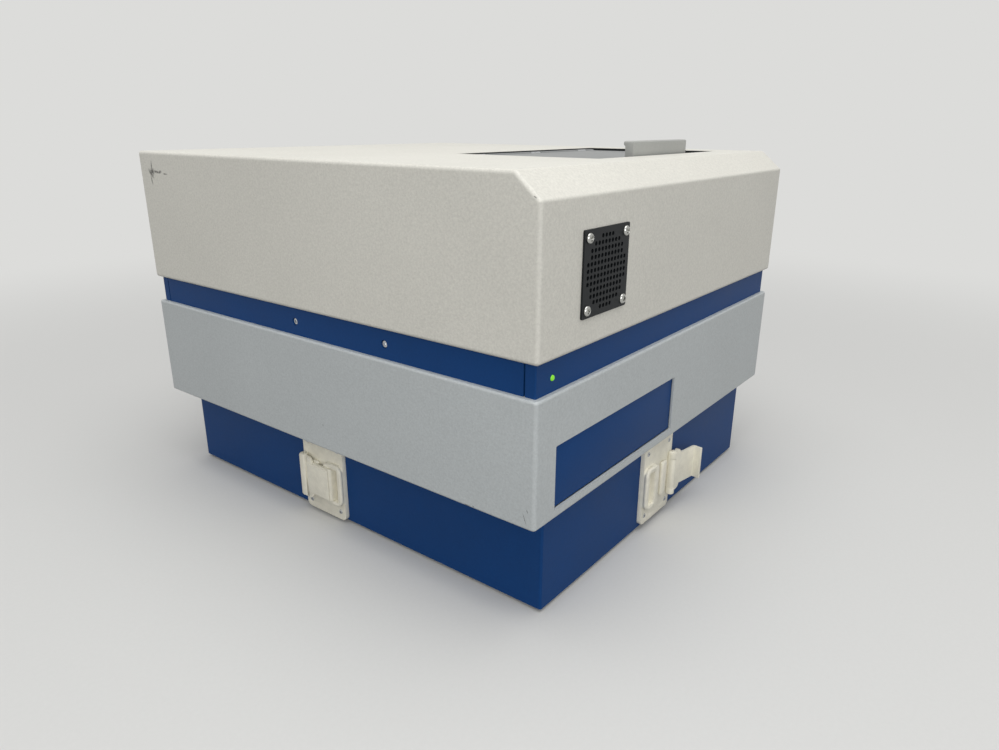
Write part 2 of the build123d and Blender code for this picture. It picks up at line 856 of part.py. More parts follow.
with BuildPart() as lid_hinge_pin:
    pin_x = grown(panel_x, -hinge_pin_end_gap)
    round_bar((pin_x[0], hinge_y, hinge_z), (1, 0, 0), hinge_pin_radius, pin_x[1] - pin_x[0])
save(lid_hinge_pin, "lid_hinge_pin")

handle_screws = about(handle_x, handle_screw_pitch)
handle_screw_y = lid_y[0] + lid_gap + sheet + handle_screw_head_radius + screw_clearance
with BuildPart() as lid_panel:
    panel_front = lid_y[0] + lid_gap
    slab(panel_x, (panel_front, panel_back), (ledge_top, lid_top), inner_corner)
    panel_inside = (grown(panel_x, -sheet), (panel_front + sheet, panel_back - sheet))
    slab(*panel_inside, (ledge_top, lid_under), mode=Mode.SUBTRACT)
    slab(panel_x, (panel_back - inner_corner, hinge_y), (lid_under, lid_top))
    round_bar((panel_x[0], hinge_y, hinge_z), (1, 0, 0), hinge_knuckle_radius, panel_x[1] - panel_x[0])
    for x in block_places:
        slot_x = about(x, hinge_block_length + 2 * hinge_slot_margin)
        slot_y = (panel_back - hinge_slot_margin, lid_y[1])
        slab(slot_x, slot_y, (ledge_top, hood_top), mode=Mode.SUBTRACT)
    bore_radius = hinge_pin_radius + running_clearance
    round_bar((lid_x[0], hinge_y, hinge_z), (1, 0, 0), bore_radius, lid_width, Mode.SUBTRACT)
    for x in handle_screws:
        hole_radius = handle_screw_radius + screw_clearance
        round_bar((x, handle_screw_y, lid_under), (0, 0, 1), hole_radius, sheet, Mode.SUBTRACT)
save(lid_panel, "lid_panel")

# Lid handle: solid bar with a small lip along its rear top edge, screwed on from under the lid
handle_top = lid_top + handle_height
handle_back = handle_front + handle_depth
lip_back = handle_back + handle_lip_depth
lip_low = handle_top - handle_lip_height
with BuildPart() as lid_handle:
    with BuildSketch(Plane.YZ.offset(handle_x - handle_width / 2)) as handle_section:
        with BuildLine():
            Polyline(
                (handle_front, lid_top),
                (handle_front, handle_top),
                (lip_back, handle_top),
                (lip_back, lip_low),
                (handle_back, lip_low - handle_lip_depth),
                (handle_back, lid_top),
                close=True,
            )
        make_face()
    extrude(amount=handle_width)
    handle_top_edges = lid_handle.faces().sort_by(Axis.Z)[-1].edges()
    fillet(handle_top_edges, radius=handle_round)
    for x in handle_screws:
        round_bar((x, handle_screw_y, lid_top), (0, 0, -1), handle_screw_radius, sheet)
        head_start = (x, handle_screw_y, lid_under)
        round_bar(head_start, (0, 0, -1), handle_screw_head_radius, handle_screw_head_height)
save(lid_handle, "lid_handle")

# Door brackets: a folded strip each side of the opening, with the ear that holds the hinge rod
rod_left = door_left - door_ear
rod_length = door_width + 2 * door_ear
ear_y = (-half_depth + sheet, 2 * (door_axis_y - door_ear_setback) + half_depth - sheet)
with BuildPart() as door_brackets:
    with BuildSketch(Plane.XZ.offset(half_depth - sheet)) as frame_plan:
        with Locations((door_centre_x, door_centre_z)):
            strip_height = door_height + 2 * door_bracket_overlap
            Rectangle(door_width + 2 * door_bracket_width, strip_height)
            Rectangle(door_width, strip_height, mode=Mode.SUBTRACT)
    extrude(amount=-door_bracket_sheet)
    for ear_x in ((door_left - door_ear, door_left), (door_right, door_right + door_ear)):
        slab(ear_x, ear_y, about(door_axis_z, door_ear_height))
    rod_start_point = (rod_left, door_axis_y, door_axis_z)
    round_bar(rod_start_point, (1, 0, 0), door_rod_radius, rod_length, Mode.SUBTRACT)
save(door_brackets, "door_brackets")

with BuildPart() as door_hinge_rod:
    round_bar(rod_start_point, (1, 0, 0), door_rod_radius, rod_length)
save(door_hinge_rod, "door_hinge_rod")

# Door flap: plain plate with rolled knuckles along its top edge
with BuildPart() as door_flap:
    with BuildSketch(Plane.XZ.offset(half_depth - sheet)) as flap_plan:
        with Locations((door_centre_x, door_centre_z)):
            RectangleRounded(door_width - 2 * door_gap, door_height - 2 * door_gap, inner_corner)
    extrude(amount=-door_thickness)
    for index in range(door_knuckle_count):
        knuckle_middle = door_centre_x + (index - (door_knuckle_count - 1) / 2) * door_knuckle_pitch
        knuckle_start = (knuckle_middle - door_knuckle_length / 2, door_axis_y, door_axis_z)
        round_bar(knuckle_start, (1, 0, 0), door_knuckle_radius, door_knuckle_length)
    slab(case_x, (-half_depth, -half_depth + sheet), (band_low, band_top), mode=Mode.SUBTRACT)
    door_bore = door_rod_radius + running_clearance
    round_bar(rod_start_point, (1, 0, 0), door_bore, rod_length, Mode.SUBTRACT)
save(door_flap, "door_flap")

# Transport deck on its standoffs
deck_wall = sheet + deck_wall_gap
with BuildPart() as transport_deck:
    slab(grown(plinth_x, -deck_wall), grown(plinth_y, -deck_wall), (deck_low, deck_top), edge_radius)
    with BuildSketch(Plane.XY.offset(deck_top)) as deck_cable_slots:
        with Locations((0, -half_depth + deck_slot_setback)):
            with GridLocations(deck_slot_pitch, 0, 2, 1):
                SlotOverall(deck_slot_length, deck_slot_width)
    extrude(amount=-deck_sheet, mode=Mode.SUBTRACT)
save(transport_deck, "transport_deck")

# Standoffs under the deck and pillars up to the optics deck
standoff_x = half_width - standoff_inset_side
pillar_x = half_width - pillar_inset_side
with BuildPart() as standoffs:
    for setback in standoff_setbacks:
        for x in (-standoff_x, 0.0, standoff_x):
            foot_point = (x, -half_depth + setback, floor_top)
            round_bar(foot_point, (0, 0, 1), standoff_radius, deck_low - floor_top)
    for setback in pillar_setbacks:
        for x in (-pillar_x, pillar_x):
            pillar_foot = (x, -half_depth + setback, deck_top)
            round_bar(pillar_foot, (0, 0, 1), pillar_radius, optics_low - deck_top)
save(standoffs, "standoffs")

# Lengthwise guide rods in four brackets
with BuildPart() as y_guide_rods:
    for x in (-rod_x, rod_x):
        round_bar((x, rod_start, rod_z), (0, 1, 0), rod_radius, rod_end - rod_start)
save(y_guide_rods, "y_guide_rods")

idler_face = y_belt_x + motor_face
with BuildPart() as rod_brackets:
    bracket_top = rod_z + rod_radius + bracket_top_wall
    shoulder = rod_radius + bracket_side_wall
    for x in (-rod_x, rod_x):
        for y in (rod_start, rod_end - bracket_thickness):
            with BuildSketch(Plane(origin=(x, y, 0), x_dir=(1, 0, 0), z_dir=(0, -1, 0))) as bracket_plan:
                with BuildLine():
                    Polyline(
                        (-bracket_width / 2, deck_top),
                        (bracket_width / 2, deck_top),
                        (shoulder, bracket_top),
                        (-shoulder, bracket_top),
                        close=True,
                    )
                make_face()
                with Locations((0, rod_z)):
                    Circle(rod_radius, mode=Mode.SUBTRACT)
            extrude(amount=-bracket_thickness)
    post_top = rod_z + idler_post_width / 2
    slab((idler_face, idler_face + idler_post), about(y_idler_y, idler_post_width), (deck_top, post_top))
    round_bar((idler_face, y_idler_y, rod_z), (-1, 0, 0), motor_shaft_radius, 2 * motor_face)
save(rod_brackets, "rod_brackets")

# Bridge: end blocks on the guide rods, a cross plate and two uprights for the cross rods
bushing_radius = rod_radius + bushing_wall
upright_top = cross_rod_z + cross_rod_radius + cross_rod_wall
with BuildPart() as tray_bridge:
    slab((-bridge_half, bridge_half), bridge_y, (bridge_low, bridge_top))
    for x in (-rod_x, rod_x):
        slab(about(x, rod_block), bridge_y, (rod_z - rod_block / 2, bridge_low))
        round_bar((x, bridge_y[0], rod_z), (0, 1, 0), bushing_radius, bridge_width, Mode.SUBTRACT)
    for x in (upright_left, upright_right - upright_thickness):
        slab((x, x + upright_thickness), bridge_y, (bridge_top, upright_top))
    for y in cross_rods_y:
        rod_hole = (upright_left, y, cross_rod_z)
        round_bar(rod_hole, (1, 0, 0), cross_rod_radius, upright_right - upright_left, Mode.SUBTRACT)
    lug_low = rod_z + pulley_radius + belt_gap + belt_thickness
    slab(about(y_belt_x, belt_lug), about(cross_y, belt_lug_length), (lug_low, bridge_low))
    collar_height = belt_z - belt_width / 2 - 2 * pulley_flange - bridge_top
    idler_foot = (x_idler_x, cross_y, bridge_top)
    round_bar(idler_foot, (0, 0, 1), 2 * motor_shaft_radius, collar_height)
    round_bar(idler_foot, (0, 0, 1), motor_shaft_radius, shaft_top - bridge_top)
save(tray_bridge, "tray_bridge")

with BuildPart() as bridge_bushings:
    for x in (-rod_x, rod_x):
        for y in (bridge_y[0], bridge_y[1] - bushing_length):
            with BuildSketch(Plane(origin=(x, y, rod_z), z_dir=(0, 1, 0))) as bushing_plan:
                Circle(bushing_radius)
                Circle(rod_radius + running_clearance, mode=Mode.SUBTRACT)
            extrude(amount=bushing_length)
save(bridge_bushings, "bridge_bushings")

with BuildPart() as cross_rods:
    for y in cross_rods_y:
        cross_start = (upright_left, y, cross_rod_z)
        round_bar(cross_start, (1, 0, 0), cross_rod_radius, upright_right - upright_left)
save(cross_rods, "cross_rods")

# Slider block on the cross rods, with the clamp that grips the belt
slider_x = about(carrier_x, slider_length)
with BuildPart() as slider_block:
    slab(slider_x, about(cross_y, slider_width), (slider_low, slider_top), inner_corner)
    slider_bore = cross_rod_radius + running_clearance
    for y in cross_rods_y:
        bore_start = (slider_x[0], y, cross_rod_z)
        round_bar(bore_start, (1, 0, 0), slider_bore, slider_length, Mode.SUBTRACT)
    clamp_back = cross_y - pulley_radius - belt_gap - belt_thickness - belt_clamp_gap
    clamp_y = (clamp_back - belt_clamp_thickness, clamp_back)
    slab(about(carrier_x, belt_clamp_length), clamp_y, (slider_top, belt_z + belt_width / 2))
save(slider_block, "slider_block")

# Plate carrier: nest for a microplate with finger notches, on an arm under the slider block
nest_length = plate_length + 2 * plate_clearance
nest_width = plate_width + 2 * plate_clearance
with BuildPart() as plate_carrier:
    slab(about(carrier_x, carrier_length), carrier_y, (carrier_low, carrier_top), edge_radius)
    arm_y = (carrier_y[1] - arm_overlap, cross_y + slider_width / 2)
    slab(about(carrier_x, arm_width), arm_y, (carrier_low, slider_low))
    nest_floor = carrier_top - nest_depth
    nest_y = about(carrier_middle, nest_width)
    slab(about(carrier_x, nest_length), nest_y, (nest_floor, carrier_top), nest_corner, Mode.SUBTRACT)
    window_x = about(carrier_x, nest_length - 2 * nest_ledge)
    window_y = grown(nest_y, -nest_ledge)
    slab(window_x, window_y, (carrier_low, carrier_top), nest_corner, Mode.SUBTRACT)
    with BuildSketch(Plane.XY.offset(carrier_top)) as notch_plan:
        with Locations((carrier_x, carrier_middle)):
            with GridLocations(carrier_length, 0, 2, 1):
                SlotOverall(2 * notch_width, notch_width)
    extrude(amount=-notch_depth, mode=Mode.SUBTRACT)
    top_edges = plate_carrier.faces().sort_by(Axis.Z)[-1].outer_wire().edges()
    chamfer(top_edges, length=carrier_chamfer)
save(plate_carrier, "plate_carrier")

# Leaf spring that presses the plate to the nest's front edge
with BuildPart() as plate_spring:
    spring_span = (carrier_top, carrier_top + spring_thickness)
    spring_y = (nest_y[1] + spring_seat, nest_y[1] + spring_seat + spring_width)
    slab(about(carrier_x, spring_length), spring_y, spring_span)
    tongue_y = (nest_y[1] - spring_tongue_reach, spring_y[1])
    slab(about(carrier_x, spring_tongue_length), tongue_y, spring_span)
save(plate_spring, "plate_spring")


def pulley(plane):
    """Flanged belt pulley centred on a plane, bored for its shaft."""
    for radius, start, length in (
        (pulley_radius, -pulley_half, 2 * pulley_half),
        (pulley_flange_radius, -pulley_half - pulley_flange, pulley_flange),
        (pulley_flange_radius, pulley_half, pulley_flange),
    ):
        with BuildSketch(plane.offset(start)) as disc_plan:
            Circle(radius)
            Circle(motor_shaft_radius + running_clearance, mode=Mode.SUBTRACT)
        extrude(disc_plan.sketch, amount=length)


def belt_loop(plane, span):
    """Closed belt round two equal pulleys, centred on a plane whose X runs between them."""
    inside = pulley_radius + belt_gap
    with BuildSketch(plane) as belt_plan:
        SlotCenterToCenter(span, 2 * (inside + belt_thickness))
        SlotCenterToCenter(span, 2 * inside, mode=Mode.SUBTRACT)
    extrude(belt_plan.sketch, amount=belt_width / 2, both=True)


def y_belt_plane(y):
    """Plane across the lengthwise belt at a place along it."""
    return Plane(origin=(y_belt_x, y, rod_z), x_dir=(0, 1, 0), z_dir=(-1, 0, 0))


# Lengthwise drive: one pulley on the motor behind the bridge, one on the front idler post
with BuildPart() as y_drive_pulley:
    pulley(y_belt_plane(y_motor_y))
save(y_drive_pulley, "y_drive_pulley")

with BuildPart() as y_idler_pulley:
    pulley(y_belt_plane(y_idler_y))
save(y_idler_pulley, "y_idler_pulley")

with BuildPart() as y_belt:
    belt_loop(y_belt_plane((y_motor_y + y_idler_y) / 2), y_motor_y - y_idler_y)
save(y_belt, "y_belt")

# Cross drive on the bridge: flat motor at the right end, pulley on the bridge's post at the left end
x_motor_top = bridge_top + cross_motor_length
with BuildPart() as x_motor:
    motor_plan_x = about(x_drive_x, cross_motor_size)
    motor_plan_y = about(cross_y, cross_motor_size)
    slab(motor_plan_x, motor_plan_y, (bridge_top, x_motor_top), cross_motor_corner)
    shaft_start = (x_drive_x, cross_y, x_motor_top)
    round_bar(shaft_start, (0, 0, 1), motor_shaft_radius, shaft_top - x_motor_top)
save(x_motor, "x_motor")

with BuildPart() as x_drive_pulley:
    pulley(Plane(origin=(x_drive_x, cross_y, belt_z)))
save(x_drive_pulley, "x_drive_pulley")

with BuildPart() as x_idler_pulley:
    pulley(Plane(origin=(x_idler_x, cross_y, belt_z)))
save(x_idler_pulley, "x_idler_pulley")

with BuildPart() as x_belt:
    belt_loop(Plane(origin=((x_drive_x + x_idler_x) / 2, cross_y, belt_z)), x_drive_x - x_idler_x)
save(x_belt, "x_belt")

# Optics deck with the hole for the head's nose
with BuildPart() as optics_deck:
    optics_y = (-half_depth + optics_setback, half_depth - optics_inset_back)
    slab(grown(case_x, -optics_inset_side), optics_y, (optics_low, optics_top), edge_radius)
    with BuildSketch(Plane.XY.offset(optics_top)) as optics_holes:
        with Locations((head_x, head_y)):
            Circle(head_nose_radius + head_clearance)
        with Locations((-half_width + optics_slot_inset, -half_depth + optics_slot_setback)):
            SlotOverall(optics_slot_length, optics_slot_width)
    extrude(amount=-optics_deck_thickness, mode=Mode.SUBTRACT)
save(optics_deck, "optics_deck")

# Optic head: nose through the deck, square block, tube up to the well pan
head_nose_low = carrier_top + head_nose_lift
head_block_top = optics_top + head_block_height
with BuildPart() as optic_head:
    nose_length = optics_top - head_nose_low
    round_bar((head_x, head_y, head_nose_low), (0, 0, 1), head_nose_radius, nose_length)
    chamfer(optic_head.faces().sort_by(Axis.Z)[0].edges(), length=head_nose_chamfer)
    block_plan = (about(head_x, head_block), about(head_y, head_block))
    slab(*block_plan, (optics_top, head_block_top), edge_radius)
    tube_length = well_floor - sheet - head_block_top
    round_bar((head_x, head_y, head_block_top), (0, 0, 1), head_tube_radius, tube_length)
save(optic_head, "optic_head")

# Cap over the head in the lid well, with finger scallops
with BuildPart() as head_cap:
    with BuildSketch(Plane.XY.offset(well_floor)) as cap_plan:
        with Locations((head_x, head_y)):
            Circle(cap_radius)
            with PolarLocations(cap_radius + cap_grip_offset, cap_grip_count):
                Circle(cap_grip_radius, mode=Mode.SUBTRACT)
    extrude(amount=cap_height)
    chamfer(head_cap.faces().sort_by(Axis.Z)[-1].edges(), length=cap_chamfer)
save(head_cap, "head_cap")

# Injector block with its capped ports in the lid well
injector_x = head_x + injector_offset
injector_top = well_floor + injector_height
with BuildPart() as injector_block:
    injector_plan = (about(injector_x, injector_width), about(head_y, injector_length))
    slab(*injector_plan, (well_floor, injector_top), edge_radius)
    chamfer(injector_block.faces().sort_by(Axis.Z)[-1].edges(), length=injector_chamfer)
save(injector_block, "injector_block")

with BuildPart() as port_caps:
    with BuildSketch(Plane.XY.offset(injector_top)) as port_cap_plan:
        with Locations((injector_x, head_y)):
            with GridLocations(0, port_pitch, 1, port_count):
                RegularPolygon(port_cap_radius, 6)
    extrude(amount=port_cap_height)
    with BuildSketch(Plane.XY.offset(injector_top + port_cap_height)) as port_plug_plan:
        with Locations((injector_x, head_y)):
            with GridLocations(0, port_pitch, 1, port_count):
                Circle(port_plug_radius)
    extrude(amount=port_plug_height)
save(port_caps, "port_caps")


def filter_wheel(x):
    """Filter wheel standing across the light path, turning about an axis along Y."""
    with BuildSketch(Plane(origin=(x, wheel_y, wheel_z), x_dir=(1, 0, 0), z_dir=(0, 1, 0))) as wheel_plan:
        Circle(wheel_radius)
        with PolarLocations(wheel_filter_circle, wheel_filter_count):
            Circle(wheel_filter_radius, mode=Mode.SUBTRACT)
        Circle(wheel_shaft_radius + running_clearance, mode=Mode.SUBTRACT)
    extrude(wheel_plan.sketch, amount=wheel_thickness)


with BuildPart() as filter_wheel_excitation:
    filter_wheel(wheel_excitation_x)
save(filter_wheel_excitation, "filter_wheel_excitation")

with BuildPart() as filter_wheel_emission:
    filter_wheel(wheel_emission_x)
save(filter_wheel_emission, "filter_wheel_emission")

# Stepper motors: one that drives the lengthwise belt and one behind each filter wheel
with BuildPart() as stepper_motors:
    y_motor_plane = y_belt_plane(y_motor_y).offset(-motor_face)
    with BuildSketch(y_motor_plane) as motor_body:
        RectangleRounded(motor_size, motor_size, motor_corner)
    extrude(amount=-motor_length)
    with BuildSketch(y_motor_plane) as motor_boss:
        Circle(motor_size / 4)
    extrude(amount=motor_boss_height)
    with BuildSketch(y_motor_plane) as motor_shaft:
        Circle(motor_shaft_radius)
    extrude(amount=2 * motor_face)
    foot_x = (y_belt_x + motor_face + motor_foot_start, y_belt_x + motor_face + motor_length)
    slab(foot_x, about(y_motor_y, motor_size), (deck_top, rod_z))
    wheel_motor_y = wheel_y + wheel_thickness + wheel_gap
    for x in (wheel_excitation_x, wheel_emission_x):
        motor_y = (wheel_motor_y, wheel_motor_y + motor_length)
        slab(about(x, motor_size), motor_y, (optics_top, wheel_z + motor_size / 2))
        wheel_shaft = wheel_thickness + 2 * wheel_gap
        round_bar((x, wheel_motor_y, wheel_z), (0, -1, 0), wheel_shaft_radius, wheel_shaft)
save(stepper_motors, "stepper_motors")

# Flash lamp housing with cooling fins
lamp_x = wheel_excitation_x + lamp_offset
lamp_y = (wheel_y + lamp_setback, wheel_y + lamp_setback + lamp_length)
lamp_top = optics_top + lamp_height
with BuildPart() as flash_lamp:
    slab(about(lamp_x, lamp_width), lamp_y, (optics_top, lamp_top), edge_radius)
    with BuildSketch(Plane.XY.offset(lamp_top)) as fins:
        with Locations((lamp_x, sum(lamp_y) / 2)):
            with GridLocations(lamp_fin_pitch, 0, lamp_fin_count, 1):
                Rectangle(lamp_fin_width, lamp_length - 2 * lamp_fin_margin)
    extrude(amount=lamp_fin_height)
save(flash_lamp, "flash_lamp")

# Light detector in its shielded can
detector_x = (half_width - detector_inset - detector_width, half_width - detector_inset)
detector_y = (-half_depth + detector_setback, -half_depth + detector_setback + detector_length)
with BuildPart() as detector_housing:
    slab(detector_x, detector_y, (optics_top, optics_top + detector_height), edge_radius)
    tube_start = (sum(detector_x) / 2, detector_y[0], optics_top + detector_height / 2)
    round_bar(tube_start, (0, -1, 0), detector_tube_radius, detector_tube_length)
save(detector_housing, "detector_housing")

# Rigid light guides from the optic head to the wheels
with BuildPart() as light_guides:
    guide_start = head_y + head_block / 2
    for x in about(head_x, guide_pitch):
        guide_length = wheel_y - guide_gap - guide_start
        round_bar((x, guide_start, wheel_z), (0, 1, 0), guide_radius, guide_length)
save(light_guides, "light_guides")

# Main board and power supply under the transport deck
supply_x = (plinth_x[1] - supply_inset - supply_width, plinth_x[1] - supply_inset)
board_x = (plinth_x[0] + board_inset, supply_x[0] - board_supply_gap)
board_y = (-half_depth + board_setback, -half_depth + board_setback + board_length)
board_low = floor_top + board_lift
with BuildPart() as main_board:
    slab(board_x, board_y, (board_low, board_low + board_thickness))
    with BuildSketch(Plane.XY.offset(board_low + board_thickness)) as chips:
        with Locations(*[(board_x[0] + x, board_y[0] + y) for x, y in chip_places]):
            Rectangle(chip_size, chip_size)
    extrude(amount=chip_height)
    for x in grown(board_x, -board_post_inset):
        for y in grown(board_y, -board_post_inset):
            round_bar((x, y, floor_top), (0, 0, 1), board_post_radius, board_lift)
save(main_board, "main_board")

supply_y = (-half_depth + supply_setback, -half_depth + supply_setback + supply_length)
supply_top = deck_low - supply_deck_gap
with BuildPart() as power_supply:
    slab(supply_x, supply_y, (floor_top, supply_top), inner_corner)
    with BuildSketch(Plane.XY.offset(supply_top)) as supply_slots:
        with Locations((sum(supply_x) / 2, sum(supply_y) / 2)):
            with GridLocations(supply_slot_pitch, 0, supply_slot_count, 1):
                SlotOverall(supply_slot_length, supply_slot_width, rotation=90)
    extrude(amount=-supply_slot_depth, mode=Mode.SUBTRACT)
save(power_supply, "power_supply")


def panel_plane(offset_x):
    """Plane on the rear panel's outer face, looking out, at a place across the panel."""
    return Plane(origin=(rear_cutout_x + offset_x, panel_face, panel_z), x_dir=(-1, 0, 0), z_dir=(0, 1, 0))


# Rear panel with the mains inlet, the switch and the data ports
screw_half_x = rear_cutout_width / 2 - panel_screw_inset
screw_half_z = rear_cutout_height / 2 - panel_screw_inset
panel_cutouts = [
    (inlet_offset, inlet_width, inlet_height),
    (rocker_offset, rocker_width + 2 * (bezel_gap + bezel_wall), rocker_height + 2 * (bezel_gap + bezel_wall)),
] + [(offset, port_width, port_height) for offset in port_offsets]
with BuildPart() as rear_panel:
    with BuildSketch(panel_plane(0)) as panel_plan:
        Rectangle(rear_cutout_width + 2 * rear_panel_margin, rear_cutout_height + 2 * rear_panel_margin)
        with GridLocations(2 * screw_half_x, 2 * screw_half_z, 2, 2):
            Circle(panel_screw_radius, mode=Mode.SUBTRACT)
    extrude(amount=-rear_panel_sheet)
    for offset, cut_width, cut_height in panel_cutouts:
        with BuildSketch(panel_plane(offset)) as cutout_plan:
            Rectangle(cut_width + 2 * cutout_gap, cut_height + 2 * cutout_gap)
        extrude(amount=-rear_panel_sheet, mode=Mode.SUBTRACT)
save(rear_panel, "rear_panel")

inlet_plane = panel_plane(inlet_offset)
with BuildPart() as power_inlet:
    flange_half = inlet_height / 2 + inlet_rim
    with BuildSketch(inlet_plane) as inlet_front:
        with BuildLine():
            Polyline(
                (-inlet_width / 2 - inlet_ear, 0),
                (-inlet_width / 2, flange_half),
                (inlet_width / 2, flange_half),
                (inlet_width / 2 + inlet_ear, 0),
                (inlet_width / 2, -flange_half),
                (-inlet_width / 2, -flange_half),
                close=True,
            )
        make_face()
        with GridLocations(inlet_width + inlet_ear - 2 * inlet_ear_hole_inset, 0, 2, 1):
            Circle(inlet_ear_hole_radius, mode=Mode.SUBTRACT)
    extrude(amount=inlet_flange)
    with BuildSketch(inlet_plane) as inlet_body:
        Rectangle(inlet_width, inlet_height)
    extrude(amount=-inlet_depth)
    mouth_x = inlet_mouth_width / 2
    mouth_y = inlet_mouth_height / 2
    with BuildSketch(inlet_plane.offset(inlet_flange)) as inlet_mouth:
        with BuildLine():
            Polyline(
                (-mouth_x, -mouth_y),
                (mouth_x, -mouth_y),
                (mouth_x, mouth_y - inlet_mouth_bevel),
                (mouth_x - inlet_mouth_bevel, mouth_y),
                (-mouth_x + inlet_mouth_bevel, mouth_y),
                (-mouth_x, mouth_y - inlet_mouth_bevel),
                close=True,
            )
        make_face()
    extrude(amount=-inlet_cavity - inlet_flange, mode=Mode.SUBTRACT)
    with BuildSketch(inlet_plane.offset(-inlet_cavity)) as pin_plan:
        with Locations(*inlet_pins):
            Rectangle(inlet_pin_width, inlet_pin_height)
    extrude(amount=inlet_pin_length)
save(power_inlet, "power_inlet")

# Rocker switch: bezel in the panel and the rocker that tips on its two side pins
rocker_plane = panel_plane(rocker_offset)
rocker_x = rear_cutout_x + rocker_offset
rocker_pivot_y = panel_face - rocker_pivot_depth
pin_reach = rocker_width / 2 + bezel_gap + rocker_pin_seat
bezel_outer = (rocker_width + 2 * (bezel_gap + bezel_wall), rocker_height + 2 * (bezel_gap + bezel_wall))
bezel_inner = (rocker_width + 2 * bezel_gap, rocker_height + 2 * bezel_gap)
with BuildPart() as switch_bezel:
    with BuildSketch(rocker_plane) as bezel_front:
        bezel_edge = 2 * bezel_flange
        RectangleRounded(bezel_outer[0] + bezel_edge, bezel_outer[1] + bezel_edge, bezel_flange_corner)
        Rectangle(*bezel_inner, mode=Mode.SUBTRACT)
    extrude(amount=bezel_flange_sheet)
    with BuildSketch(rocker_plane) as bezel_body:
        Rectangle(*bezel_outer)
        Rectangle(*bezel_inner, mode=Mode.SUBTRACT)
    extrude(amount=-bezel_depth)
    with BuildSketch(rocker_plane.offset(-bezel_depth)) as bezel_floor_plan:
        Rectangle(*bezel_outer)
    extrude(amount=-bezel_floor)
    pin_bore = rocker_pin_radius + running_clearance
    bore_start = (rocker_x - pin_reach, rocker_pivot_y, panel_z)
    round_bar(bore_start, (1, 0, 0), pin_bore, 2 * pin_reach, Mode.SUBTRACT)
save(switch_bezel, "switch_bezel")

rocker_half = rocker_height / 2 - rocker_end_gap
rocker_crest = rocker_pivot_y + rocker_rise
rocker_root_y = rocker_pivot_y - rocker_root_depth
rocker_shoulder_y = rocker_pivot_y - rocker_shoulder
with BuildPart() as rocker_switch:
    with BuildSketch(Plane.YZ.offset(rocker_x - rocker_width / 2)) as rocker_section:
        with BuildLine():
            Polyline(
                (rocker_root_y, panel_z + rocker_root_height / 2),
                (rocker_root_y, panel_z - rocker_root_height / 2),
                (rocker_shoulder_y, panel_z - rocker_half),
                (rocker_crest - rocker_half * tan(radians(rocker_dip)), panel_z - rocker_half),
                (rocker_crest, panel_z),
                (rocker_crest + rocker_half * tan(radians(rocker_lean)), panel_z + rocker_half),
                (rocker_shoulder_y, panel_z + rocker_half),
                close=True,
            )
        make_face()
    extrude(amount=rocker_width)
    pin_half = pin_reach - running_clearance
    pin_start = (rocker_x - pin_half, rocker_pivot_y, panel_z)
    round_bar(pin_start, (1, 0, 0), rocker_pin_radius, 2 * pin_half)
save(rocker_switch, "rocker_switch")

# Square data sockets
with BuildPart() as data_ports:
    for offset in port_offsets:
        with BuildSketch(panel_plane(offset)) as port_shell:
            Rectangle(port_width, port_height)
        extrude(amount=-port_depth)
        with BuildSketch(panel_plane(offset)) as port_mouth:
            Rectangle(port_mouth_width, port_mouth_height)
            Rectangle(port_tongue_width, port_tongue_height, mode=Mode.SUBTRACT)
        extrude(amount=-port_mouth_depth, mode=Mode.SUBTRACT)
save(data_ports, "data_ports")

# Latch hinges: X from the axis towards the keeper, Y out from the wall, at the clasp's middle height
left_axis = (plinth_x[0] - clasp_axis_out, latch_left_y + clasp_axis_along, latch_left_z)
front_axis = (latch_front_x + clasp_axis_along, plinth_y[0] - clasp_axis_out, latch_front_z)
left_clasp = Plane(origin=left_axis, x_dir=(0, -1, 0), z_dir=(0, 0, -1))
front_clasp = Plane(origin=front_axis, x_dir=(-1, 0, 0), z_dir=(0, 0, 1))
front_turn = radians(latch_front_opening)
front_flap_plane = Plane(origin=front_axis, x_dir=(-cos(front_turn), -sin(front_turn), 0), z_dir=(0, 0, 1))
plate_middle = latch_plate_height / 2 - clasp_middle
plate_ends = (clasp_axis_along - latch_plate_width, clasp_axis_along)
latch_screw_spots = [
    (along, plate_middle + up)
    for along in grown(plate_ends, -latch_screw_inset)
    for up in about(0, latch_plate_height - 2 * latch_screw_inset_end)
]


def wall_plane(clasp, out):
    """Plane parallel to the wall behind a latch, at a distance out from it, and its upward sign."""
    origin = clasp.origin + clasp.y_dir * (out - clasp_axis_out)
    return Plane(origin=origin, x_dir=clasp.x_dir, z_dir=clasp.y_dir), -clasp.z_dir.Z


def latch_block(clasp, reach, up_span, out, corner, taper=0.0, mode=Mode.ADD):
    """Rounded block on a latch between limits along, up from the clasp's middle, and out."""
    plane, up = wall_plane(clasp, out[0])
    with BuildSketch(plane) as block_outline:
        with Locations((sum(reach) / 2, up * sum(up_span) / 2)):
            RectangleRounded(reach[1] - reach[0], up_span[1] - up_span[0], corner)
    extrude(block_outline.sketch, amount=out[1] - out[0], taper=taper, mode=mode)


def latch_rounds(clasp, radius, out, mode=Mode.ADD):
    """Round pins or holes at the four screw places of a latch plate."""
    plane, up = wall_plane(clasp, out[0])
    with BuildSketch(plane) as round_plan:
        with Locations(*[(along, up * rise) for along, rise in latch_screw_spots]):
            Circle(radius)
    extrude(round_plan.sketch, amount=out[1] - out[0], mode=mode)


def axis_bar(plane, radius, length, mode=Mode.ADD):
    """Bar or bore along a latch's hinge axis, about its middle."""
    with BuildSketch(plane) as bar_section:
        Circle(radius)
    extrude(bar_section.sketch, amount=length / 2, both=True, mode=mode)


